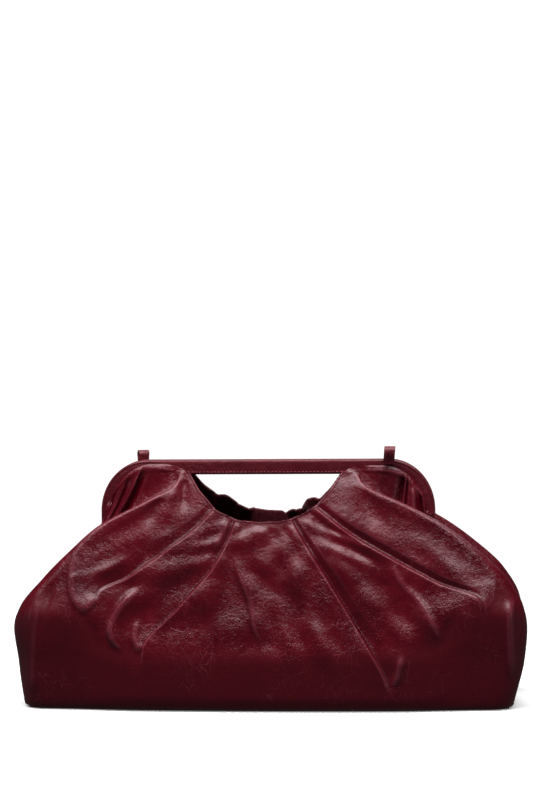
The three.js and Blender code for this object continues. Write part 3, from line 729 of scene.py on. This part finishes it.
def gusset_half(which, turns, acrosses):
    """Front half of a gusset's outer face, turn by turn from the shoulder to the middle crease, and its
    normals, which point into the bag: a curve that carries on from the panel's turned side, or stands up from
    the base, runs through the sunk or pushed middle, and ends on the frame in a flat rim with a bell-shaped
    ridge beside it."""
    frame_turns, side_turns = (curve(GATHER_TURN, ends[which], turns) for ends in (GATHER_FRAME, GATHER_SIDE))
    on_frame = np.clip(frame_turns / GUSSET_FRAME_END, 0, 1)
    under = np.pi / 2 * np.clip((frame_turns - GUSSET_FRAME_END) / (1 - GUSSET_FRAME_END), 0, 1)
    sewn_x, sewn_z = sewn_line(which, on_frame)
    sewn = np.stack([which * sewn_x, -SEWN_DEPTH * np.cos(under), sewn_z - CREASE_DROP * np.sin(under)], -1)
    runs = np.clip(side_turns / GUSSET_BASE_START, 0, 1)
    wrapped, leave = side_wrap(which, runs)
    edge = wrapped[-1]
    along_base = np.clip((side_turns - GUSSET_BASE_START) / (1 - GUSSET_BASE_START), 0, 1)[:, None]
    edge = edge * (1 - along_base / 2) + edge * TO_BACK * along_base / 2
    upright = ease_between(*FOOT_UPRIGHT, side_turns)[:, None]
    leave = unit(leave * (1 - upright) + np.array([FOOT_FLARE * which, FOOT_FLARE, 1]) * upright)
    edge[:, 2] -= FOOT_DROP * np.sin(along_base[:, 0] * np.pi / 2)
    push, back, sink = (curve(GUSSET["turn"], GUSSET[name], turns) * MM for name in ("push", "back", "sink"))
    middle = (sewn + edge) / 2 + np.stack([which * push, back, -sink], -1)
    reach = np.linalg.norm(middle - edge, axis=-1, keepdims=True)
    through = (sewn - edge) / 2
    arrive = 1.5 * sewn - 2 * middle + 0.5 * edge
    near, far = acrosses[acrosses < 0.5] * 2, acrosses[acrosses >= 0.5] * 2 - 1
    face = np.concatenate(
        [hermite(edge, leave * reach, middle, through, near), hermite(middle, through, sewn, arrive, far)]
    )
    to_frame = np.linalg.norm(face - sewn, axis=-1)
    on_face = np.cos(under) ** 2 * ease_between(*RIM_TURNS, turns)
    rim = np.sin(np.pi / 2 * np.clip(to_frame / RIM_RISE, 0, 1)) * (1 - ease_between(*RIM_HOLD, to_frame))
    ridge = np.exp(-(((to_frame - RIM_RIDGE_AT) / RIM_RIDGE_WIDTH) ** 2))
    face[..., 1] -= (RIM_OUT * rim + RIM_RIDGE * ridge) * on_face
    return face, grid_normals(face) * which


def gather_lift(which, turns, acrosses):
    """Gathers in the pocket: bell-shaped dips and ridges along the turns, with their own width on each side,
    that fade towards the lip and the frame."""
    at, before, after, height = np.array(list(GATHERS[which].values())).T[:, :, None]
    off = turns - at
    bell = np.exp(-((off / np.where(off < 0, before, after)) ** 2))
    shown = ease_between(*GATHER_SWELL, acrosses) * (1 - ease_between(*GATHER_FADE, acrosses))
    return (height * MM * bell).sum(0) * shown[:, None]


pocket_turns = np.linspace(GUSSET_START, GUSSET_FRAME_END, GUSSET_POCKET_TURNS, endpoint=False)
gusset_turns = np.concatenate([pocket_turns, np.linspace(GUSSET_FRAME_END, 1, GUSSET_END_TURNS + 1)])
gusset_acrosses = np.linspace(0, 1, GUSSET_ROWS + 1)


def gusset_face(which):
    """Both halves of the gusset, front shoulder to back shoulder."""
    front, normals = gusset_half(which, gusset_turns, gusset_acrosses)
    front = front + normals * gather_lift(which, gusset_turns, gusset_acrosses)[..., None]
    back = (front * TO_BACK)[:, -2::-1]
    return np.concatenate([front, back], axis=1)


for which, end in ((-1, "left"), (1, "right")):
    gusset = add_wall(f"gusset_{end}_leather", gusset_face(which), -which, LEATHER)
    gusset.data.materials.append(body_leather)
    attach(gusset, "root")
    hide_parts(f"gusset_{end}")

# Neck facings.
# A slim strip of thinner leather lines the inside of each neck edge, and its rolled top stands just above the
# panel's cut edge, drawn into fine ribs by the overcast seam.
FACING = 0.6 * MM
FACING_SET_IN = 2.6 * MM
FACING_RISE = 2.5 * MM
FACING_ROLL = 1.4 * MM
FACING_DROP = 12 * MM
FACING_RIBS = 150
FACING_RIB_HEIGHT = 0.22 * MM
FACING_STEPS = 620
# The roll's turn in half circles and its steps, the steps down the drop, the run over which the panel's slope
# is measured, and how far the strip stops short of the shoulders, as a share of the panel's width.
FACING_ROLL_TURN = (-0.25, 1)
FACING_ROLL_STEPS = 9
FACING_DROP_STEPS = 5
FACING_SLOPE_RUN = 0.05
FACING_SHORT = 0.004
FACING_DEEP = (0.06, 0.003, 0.006)
FACING_BRIGHT = (0.13, 0.011, 0.019)

facing_leather = leather(
    "facing_leather", FACING_DEEP, FACING_BRIGHT, BODY_WORN_AND_HIGHLIGHT, wear_and_highlight=0.15, roughness=0.42, coat=0.08
)


def neck_facing(places, back):
    """A strip that hangs inside the neck edge: straight down from a roll along the top, a little more than
    half round, whose radius swells and shrinks in ribs."""
    edge, below = panel_face(places, np.array([0, FACING_SLOPE_RUN]), back).transpose(1, 0, 2)
    up = unit(edge - below)
    along = unit(np.gradient(edge, axis=0))
    inward = unit(np.cross(up, along))
    inward = inward * np.sign(dot(inward, np.array([0, 1, 0])))
    ribs = FACING_RIB_HEIGHT * np.sin(np.linspace(0, 2 * np.pi * FACING_RIBS, len(places)))[:, None]
    angle = np.linspace(*FACING_ROLL_TURN, FACING_ROLL_STEPS)[:, None, None] * np.pi
    centre = edge + up * (FACING_RISE - FACING_ROLL) + inward * (FACING_SET_IN - FACING_ROLL)
    roll = centre + (FACING_ROLL + ribs) * (np.sin(angle) * up - np.cos(angle) * inward)
    drop = np.linspace(0, 1, FACING_DROP_STEPS + 1)[1:, None, None] * FACING_DROP
    return np.concatenate([roll, roll[-1] - up * drop]).transpose(1, 0, 2)


facing_places = np.linspace(rib_places[1] + FACING_SHORT, rib_places[-2] - FACING_SHORT, FACING_STEPS)
for onto, outward, end in ((np.ones(3), 1, "front"), (TO_BACK, -1, "back")):
    strip = neck_facing(facing_places, outward < 0) * onto
    facing = add_wall(f"neck_facing_{end}_strip", strip, outward, FACING)
    facing.data.materials.append(facing_leather)
    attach(facing, "root")
    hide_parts(f"neck_facing_{end}")

# Half frames.
# Two U-shaped metal halves are padded and wrapped in leather, closed with a seam along the inner edge; the
# top bars are the handle, and the wrap is stitched just above its lower edge.
FRAME = {"half_width": 145, "top": 210, "foot": 150, "bar": 12.4, "leg": 9.5, "corner_x": 40, "corner_z": 44}
FRAME_DEPTH = 8.2 * MM
FRAME_SHIFT = -2.5 * MM
FRAME_GAP = 0.175 * MM
FRAME_SECTION = 72
FRAME_ROUND = 0.3
# The piped edge: its width, the depth and half width of the groove, the front share of the section that it is
# cut in, and the distance from the middle over which it starts.
PIPING_WIDTH = 2.3 * MM
PIPING_GROOVE = 0.35 * MM
PIPING_GROOVE_WIDTH = 0.45 * MM
PIPING_FRONT = 0.3
PIPING_START = (85 * MM, 110 * MM)
FRAME_LEG_STEPS = 14
FRAME_CORNER_STEPS = 60
FRAME_BAR_STEPS = 150
STITCH_PITCH = 3.3 * MM
STITCH_SIZE = (1.15 * MM, 0.36 * MM, 0.36 * MM)
STITCH_HEIGHT = 199.8 * MM
STITCH_REACH = 97 * MM
STITCH_SIDES = 6
FRAME_DEEP = (0.06, 0.0013, 0.005)
FRAME_BRIGHT = (0.14, 0.007, 0.016)
THREAD = (0.4, 0.05, 0.09)

frame_leather = leather(
    "frame_leather", FRAME_DEEP, FRAME_BRIGHT, BODY_WORN_AND_HIGHLIGHT, wear_and_highlight=0.06, roughness=0.42, coat=0.05
)


def frame_edges():
    """The outer and the inner line of the U, point by point from the left foot to the right foot: up the leg,
    round a quarter of an ellipse, along the bar and down the other side."""
    f = {key: value * MM for key, value in FRAME.items()}
    centre_x, centre_z = f["half_width"] - f["corner_x"], f["top"] - f["corner_z"]
    leg = np.linspace(f["foot"], centre_z, FRAME_LEG_STEPS, endpoint=False)
    angle = np.linspace(0, np.pi / 2, FRAME_CORNER_STEPS, endpoint=False)
    bar = np.linspace(-centre_x, 0, FRAME_BAR_STEPS // 2 + 1)
    lines = []
    for inset_x, inset_z in ((0, 0), (f["leg"], f["bar"])):
        round_x, round_z = f["corner_x"] - inset_x, f["corner_z"] - inset_z
        x = np.concatenate([0 * leg - f["half_width"] + inset_x, -centre_x - round_x * np.cos(angle), bar])
        z = np.concatenate([leg, centre_z + round_z * np.sin(angle), 0 * bar + f["top"] - inset_z])
        lines.append((np.concatenate([x, -x[-2::-1]]), np.concatenate([z, z[-2::-1]])))
    return lines


def frame_skin():
    """A rounded rectangle carried along the U: its width spans the two lines, its depth is the half frame's,
    and a bell-shaped groove on its face sets off a piped edge along the outer line."""
    (outer_x, outer_z), (inner_x, inner_z) = frame_edges()
    angle = np.linspace(0, 2 * np.pi, FRAME_SECTION, endpoint=False)
    cos, sin = np.cos(angle), np.sin(angle)
    across = 0.5 - 0.5 * np.sign(cos) * np.abs(cos) ** FRAME_ROUND
    depth = 0.5 - 0.5 * np.sign(sin) * np.abs(sin) ** FRAME_ROUND
    x = FRAME_SHIFT + outer_x[:, None] + (inner_x - outer_x)[:, None] * across
    z = outer_z[:, None] + (inner_z - outer_z)[:, None] * across
    from_edge = np.hypot(inner_x - outer_x, inner_z - outer_z)[:, None] * across
    groove = PIPING_GROOVE * np.exp(-(((from_edge - PIPING_WIDTH) / PIPING_GROOVE_WIDTH) ** 2))
    groove = groove * (depth < PIPING_FRONT) * ease_between(*PIPING_START, np.abs(x))
    y = -FRAME_GAP - FRAME_DEPTH + FRAME_DEPTH * depth + groove
    return np.stack([x, y, z], -1)


def add_tube(name, rings, sharp=60):
    """A closed tube of rings, each joined to the next, with its two ends capped."""
    count, around = rings.shape[:2]
    index = np.arange(count * around).reshape(count, around)
    after = np.roll(index, -1, axis=1)
    skin = np.stack([index[:-1], after[:-1], after[1:], index[1:]], -1).reshape(-1, 4)
    closed = np.concatenate([rings[:, -1:], rings, rings[:, :1]], axis=1)
    normals = grid_normals(closed)
    centre = closed.mean(1, keepdims=True)
    normals = normals * np.sign((normals * (closed - centre)).sum())
    bend = bend_of(closed, normals)[:, 1:-1]
    a, b, c = (rings.reshape(-1, 3)[skin[:, i]] for i in (0, 1, 2))
    turned = (np.cross(b - a, c - a) * (a - centre.repeat(around, 1).reshape(-1, 3)[skin[:, 0]])).sum() < 0
    faces = [*skin.tolist(), index[0, ::-1].tolist(), index[-1].tolist()]
    if turned:
        faces = [face[::-1] for face in faces]
    return add_piece(name, rings.reshape(-1, 3), faces, {"bend": bend}, sharp)


def stitches(name, middles, directions, raised, size):
    """Stitches as small ellipsoids: each is a unit ball of few sides, drawn out along the seam, and all are
    one mesh."""
    long, wide, high = size
    around = np.arange(STITCH_SIDES) * 2 * np.pi / STITCH_SIDES
    lat, lon = np.meshgrid(np.linspace(0, np.pi, STITCH_SIDES), around, indexing="ij")
    ball = np.stack([np.cos(lat), np.sin(lat) * np.cos(lon), np.sin(lat) * np.sin(lon)], -1).reshape(-1, 3)
    over = np.cross(directions, raised)
    axes = np.stack([directions * long, over * wide, raised * high], 1)
    points = middles[:, None] + np.einsum("pk,nkd->npd", ball, axes)
    index = np.arange(len(ball)).reshape(lat.shape)
    after = np.roll(index, -1, axis=1)
    ring = np.stack([index[:-1], index[1:], after[1:], after[:-1]], -1).reshape(-1, 4)
    faces = (ring[None] + len(ball) * np.arange(len(middles))[:, None, None]).reshape(-1, 4)
    return add_piece(name, points.reshape(-1, 3), faces, sharp=180)


def thread(name, colour):
    """Waxed thread: twisted strands as fine slanting bumps, a slightly uneven colour, and painted shade that
    darkens it between the strands.
    """
    material, shader, at, place = new_material(name)
    strands = at.node(
        "ShaderNodeTexWave", {"bands_direction": "DIAGONAL"},
        {"Vector": place, "Scale": 900, "Distortion": 0.6},
        "Fac",
    )
    uneven = at.node("ShaderNodeTexNoise", None, {"Vector": place, "Scale": 320, "Detail": 3})
    # The colour is uneven at random and, following the strands, is painted darker between them as painted
    # shade.
    colour = (uneven * 0.7 + strands * 0.3).mix(tuple(0.55 * c for c in colour), colour)
    bump = at.node("ShaderNodeBump", None, {"Height": strands, "Strength": 0.5, "Distance": 0.0002}, "Normal")
    colour.feed(shader.inputs["Base Color"])
    bump.feed(shader.inputs["Normal"])
    shader.inputs["Roughness"].default_value = 0.55
    return material


seam_thread = thread("seam_thread", THREAD)
half_skin = frame_skin()
stitch_x = np.arange(-STITCH_REACH, STITCH_REACH, STITCH_PITCH)
along_bar = np.tile([1.0, 0.0, 0.0], (len(stitch_x), 1))
for onto, end in ((np.ones(3), "front"), (TO_BACK, "back")):
    half = add_tube(f"frame_{end}_wrap", half_skin * onto)
    half.data.materials.append(frame_leather)
    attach(half, "root")
    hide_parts(f"frame_{end}")
    faced = np.tile(np.array([0.0, -1.0, 0.0]) * onto, (len(stitch_x), 1))
    middles = np.stack([stitch_x, 0 * stitch_x - FRAME_GAP - FRAME_DEPTH, 0 * stitch_x + STITCH_HEIGHT], -1)
    seam = stitches(f"frame_{end}_stitches", middles * onto, along_bar, faced, STITCH_SIZE)
    seam.data.materials.append(seam_thread)
    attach(seam, "root")

# Base panel.
# The flat bottom is a stiff board covered in the body leather, with rounded edges, glued and sewn inside the
# feet of the four walls.
BASE_INSET = 2.4 * MM
BASE_LAYERS = {
    "set_in": [30, 0.5, 0.12, 0, 0, 0.12, 0.5, 30],
    "height": [0, 0, 0.12, 0.5, 1.7, 2.08, 2.2, 2.2],
}
BASE_STEPS = 90


def base_skin():
    """Rings one above the other: the outline of the panels' feet, set in by each layer's amount along its own
    normal."""
    foot = panel_face(np.linspace(0, 1, BASE_STEPS), np.array([1.0]))[:, 0, :2]
    outline = np.concatenate([foot, foot[::-1] * TO_BACK[:2]])
    way = unit(np.roll(outline, -1, axis=0) - np.roll(outline, 1, axis=0))
    inward = np.stack([-way[:, 1], way[:, 0]], -1)
    set_in = BASE_INSET + np.array(BASE_LAYERS["set_in"])[:, None, None] * MM
    height = np.array(BASE_LAYERS["height"])[:, None, None] * MM + 0 * outline[:, :1]
    return np.concatenate([outline + inward * set_in, height], -1)


base_cover = add_tube("base_panel_cover", base_skin())
base_cover.data.materials.append(body_leather)
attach(base_cover, "root")
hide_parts("base_panel")

# Hinges.
# Small steel blocks between the feet of the half frames, hidden behind the pockets; each is pinned through
# both halves, and its solid keeps its shape under a brushed finish.
STEEL = (0.52, 0.5, 0.47)
TARNISHED = (0.3, 0.27, 0.25)


def brushed_steel(name):
    """Steel brushed along one way: long thin streaks vary the roughness and a faint bump."""
    material, shader, at, place = new_material(name)
    drawn = at.node("ShaderNodeMapping", None, {"Vector": place, "Scale": (1.0, 0.04, 1.0)})
    streaks = at.node("ShaderNodeTexNoise", None, {"Vector": drawn, "Scale": 2600, "Detail": 4})
    tarnish = at.node("ShaderNodeTexNoise", None, {"Vector": place, "Scale": 260, "Detail": 4}).step(0.4, 0.7)
    colour = (tarnish * 0.5).mix(STEEL, TARNISHED)
    bump = at.node("ShaderNodeBump", None, {"Height": streaks, "Strength": 0.2, "Distance": 0.0001}, "Normal")
    colour.feed(shader.inputs["Base Color"])
    (0.28 + 0.2 * streaks).feed(shader.inputs["Roughness"])
    bump.feed(shader.inputs["Normal"])
    shader.inputs["Metallic"].default_value = 1.0
    return material


hinge_steel = brushed_steel("hinge_steel")
for node in ("hinge_left", "hinge_right"):
    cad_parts[node].data.materials.clear()
    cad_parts[node].data.materials.append(hinge_steel)

# Strap loops.
# Each is a strip of frame leather folded over, its two ends pressed together and sewn to the outer face of a
# half frame, at the front right and at the back left, so that it stands up above the bar.
LOOP_WIDTH = 9.5 * MM
LOOP_GAP = 5 * MM
LOOP_PRESS = 3 * MM
LOOP_SEAM = 0.1 * MM
LOOP_FOOT = 206.6 * MM
LOOP_LEG_STEPS = 10
LOOP_BEND_STEPS = 16
LOOP_SECTION = 28
LOOP_ROUND = 0.5
LOOP_EDGE_ROUND = LOOP_ROUND / 3
LOOPS = {
    "front": {"x": 102.6, "top": 222, "faces": -1, "lean": 1.2, "twist": 0},
    "back": {"x": -113, "top": 218, "faces": 1, "lean": 0.4, "twist": 22},
}
LOOP_STITCH_PITCH = 2.6 * MM
LOOP_STITCH_SIZE = (0.9 * MM, 0.28 * MM, 0.25 * MM)
LOOP_STITCH_INSET = 1.5 * MM
LOOP_STITCH_ENDS = (2 * MM, 5 * MM)


def loop_pull(z, top):
    """How far a loop's outer leg is pressed towards the frame: fully at its foot, and not at the bend."""
    return LOOP_PRESS * (1 - ease_between(LOOP_FOOT, top - LOOP_GAP / 2 - LEATHER, z))


def loop_skin(x, top, faces):
    """A flat rounded section carried up one leg of an upside-down U, round its bend and down the other, with
    the outer leg pressed in."""
    middle = (LOOP_GAP + LEATHER) / 2
    bend_z = top - LOOP_GAP / 2 - LEATHER
    leg = np.linspace(LOOP_FOOT, bend_z, LOOP_LEG_STEPS, endpoint=False)
    angle = np.linspace(0, np.pi, LOOP_BEND_STEPS)
    y = np.concatenate([0 * leg - middle, -middle * np.cos(angle), 0 * leg + middle])
    z = np.concatenate([leg, bend_z + middle * np.sin(angle), leg[::-1]])
    y = np.where(y * faces > 0, y - faces * loop_pull(z, top), y)
    tangent = unit(np.stack([np.gradient(y), np.gradient(z)], -1))
    turn = np.linspace(0, 2 * np.pi, LOOP_SECTION, endpoint=False)
    wide = LOOP_WIDTH / 2 * np.sign(np.cos(turn)) * np.abs(np.cos(turn)) ** LOOP_EDGE_ROUND
    thick = LEATHER / 2 * np.sign(np.sin(turn)) * np.abs(np.sin(turn)) ** LOOP_ROUND
    from_frame = FRAME_FACE + LOOP_SEAM + LEATHER + LOOP_GAP / 2
    ring_y = faces * from_frame + y[:, None] - tangent[:, 1:] * thick
    ring_z = z[:, None] + tangent[:, :1] * thick
    return np.stack([x + wide + 0 * ring_y, ring_y, ring_z], -1)


def twisted(points, loop_size):
    """Points of a loop leant, and turned about its own upright middle, most at its top and half as far at its
    foot."""
    x, top, faces = loop_size["x"] * MM, loop_size["top"] * MM, loop_size["faces"]
    middle_y = faces * (FRAME_FACE + LOOP_SEAM + LEATHER + LOOP_GAP / 2)
    up = np.clip((points[..., 2] - LOOP_FOOT) / (top - LOOP_FOOT), 0, 1)
    angle = np.radians(loop_size["twist"]) * (1 + up) / 2
    away_x, away_y = points[..., 0] - x, points[..., 1] - middle_y
    turned_x = x + away_x * np.cos(angle) - away_y * np.sin(angle) + loop_size["lean"] * MM * up
    turned_y = middle_y + away_x * np.sin(angle) + away_y * np.cos(angle)
    return np.stack([turned_x, turned_y, points[..., 2]], -1)


for end, loop_size in LOOPS.items():
    x, top, faces = loop_size["x"] * MM, loop_size["top"] * MM, loop_size["faces"]
    loop = add_tube(f"strap_loop_{end}_strip", twisted(loop_skin(x, top, faces), loop_size), sharp=70)
    loop.data.materials.append(frame_leather)
    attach(loop, "root")
    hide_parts(f"strap_loop_{end}")
    rows = np.arange(LOOP_FOOT + LOOP_STITCH_ENDS[0], top - LOOP_STITCH_ENDS[1], LOOP_STITCH_PITCH)
    inset = LOOP_WIDTH / 2 - LOOP_STITCH_INSET
    stitch_z, stitch_side = np.meshgrid(rows, [x - inset, x + inset])
    outer_y = faces * (FRAME_FACE + LOOP_SEAM + 2 * LEATHER + LOOP_GAP - loop_pull(stitch_z, top))
    middles = np.stack([stitch_side.ravel(), outer_y.ravel(), stitch_z.ravel()], -1)
    upright = np.tile([0.0, 0.0, 1.0], (len(middles), 1))
    faced = np.tile([0.0, float(faces), 0.0], (len(middles), 1))
    seam = stitches(
        f"strap_loop_{end}_stitches", twisted(middles, loop_size), upright, faced, LOOP_STITCH_SIZE
    )
    seam.data.materials.append(seam_thread)
    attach(seam, "root")

# Floor, light and camera.
# A pale matt floor that fades into a plain bright background, one large soft light above the front, a slim
# one at each side, a weak fill behind, and a camera with the photograph's place and lens.
FLOOR_SIZE = 6.0
FLOOR_COLOUR = (0.9, 0.9, 0.9)
FLOOR_ROUGHNESS = 0.9
FLOOR_GLOW = 0.25
FLOOR_FADE = (0.42, 0.75)
# Each light's place, what it looks at, its width and height, and its power.
LIGHTS = {
    "overhead_softbox": [(-0.1, -0.46, 1.55), (0, 0, 0.1), (1.7, 1.2), 48],
    "left_strip": [(-1.3, -0.5, 0.35), (0, 0, 0.08), (0.16, 0.7), 0.45],
    "right_strip": [(1.3, -0.6, 0.35), (0, 0, 0.08), (0.16, 0.7), 1.2],
    "back_fill": [(0.3, 1.2, 1.4), (0, 0, 0.1), (1.6, 0.8), 8],
}
# The surroundings: how bright all round, how much brighter near the floor, the heights of the way out between
# which that fades, and how much brighter as the plain background.
SKY_DIM = 0.03
SKY_LOW = 0.06
SKY_FADE = (-0.1, 0.25)
SKY_SEEN = 1.0
CAMERA_TARGET = np.array([0, 0, 0.1])
CAMERA_DISTANCE = 1.9
CAMERA_AZIMUTH = np.radians(4)
CAMERA_ELEVATION = np.radians(7.5)
CAMERA_PITCH = np.radians(4.81)
CAMERA_ROLL = np.radians(0.53)
CAMERA_LENS = 97.25
CAMERA_REACH = 20

corner = FLOOR_SIZE / 2
floor_points = np.array([[-1, -1, 0], [1, -1, 0], [1, 1, 0], [-1, 1, 0]]) * corner
floor = add_piece("floor", floor_points, np.array([[0, 1, 2, 3]]))
floor_finish, floor_shader, floor_at, floor_place = new_material("floor_paper")
floor_shader.inputs["Base Color"].default_value = (*FLOOR_COLOUR, 1)
floor_shader.inputs["Roughness"].default_value = FLOOR_ROUGHNESS
floor_shader.inputs["Specular IOR Level"].default_value = 0.0
floor_shader.inputs["Emission Color"].default_value = (1, 1, 1, 1)
floor_shader.inputs["Emission Strength"].default_value = FLOOR_GLOW
floor_reach = floor_at.node("ShaderNodeVectorMath", {"operation": "LENGTH"}, {0: floor_place}, "Value")
(1 - floor_reach.step(*FLOOR_FADE)).feed(floor_shader.inputs["Alpha"])
floor.data.materials.append(floor_finish)
floor.visible_glossy = False
floor.visible_diffuse = False


def stand(thing, place, right, up):
    """Puts a light or a camera at place, with its own x to the right and its own y up."""
    turned = np.stack([right, up, np.cross(right, up), place], -1)
    thing.matrix_world = Matrix([*turned.tolist(), [0, 0, 0, 1]])
    bpy.context.scene.collection.objects.link(thing)


def add_softbox(name, place, aim, size, power):
    """A rectangular area light that looks from place to aim."""
    lamp = bpy.data.lights.new(name, "AREA")
    lamp.shape = "RECTANGLE"
    lamp.size, lamp.size_y = size
    lamp.energy = power
    back = unit(np.subtract(place, aim))
    right = unit(np.cross([0, 0, 1], back))
    stand(bpy.data.objects.new(name, lamp), np.array(place), right, np.cross(back, right))


for name, light in LIGHTS.items():
    add_softbox(name, *light)

world = bpy.data.worlds.new("studio")
bpy.context.scene.world = world
world.use_nodes = True
sky = Shade(world.node_tree)
seen = sky.node("ShaderNodeLightPath", None, None, "Is Camera Ray")
way = sky.node("ShaderNodeTexCoord", None, None, "Generated")
height = sky.node("ShaderNodeSeparateXYZ", None, {0: way}, "Z")
low = 1 - height.step(*SKY_FADE)
dim = world.node_tree.nodes["Background"]
dim.inputs["Color"].default_value = (1, 1, 1, 1)
(SKY_DIM + SKY_LOW * low + SKY_SEEN * seen).feed(dim.inputs["Strength"])

eye_way = np.array([
    np.sin(CAMERA_AZIMUTH) * np.cos(CAMERA_ELEVATION),
    -np.cos(CAMERA_AZIMUTH) * np.cos(CAMERA_ELEVATION),
    np.sin(CAMERA_ELEVATION),
])
level_right = unit(np.cross(-eye_way, [0, 0, 1]))
level_up = np.cross(level_right, -eye_way)
pitched_up = level_up * np.cos(CAMERA_PITCH) + eye_way * np.sin(CAMERA_PITCH)
right = level_right * np.cos(CAMERA_ROLL) - pitched_up * np.sin(CAMERA_ROLL)
upward = pitched_up * np.cos(CAMERA_ROLL) + level_right * np.sin(CAMERA_ROLL)
camera_data = bpy.data.cameras.new("photo_camera")
camera_data.lens = CAMERA_LENS
camera_data.clip_end = CAMERA_REACH
camera = bpy.data.objects.new("photo_camera", camera_data)
stand(camera, CAMERA_TARGET + eye_way * CAMERA_DISTANCE, right, upward)
bpy.context.scene.camera = camera
bpy.context.scene.view_settings.view_transform = "Standard"
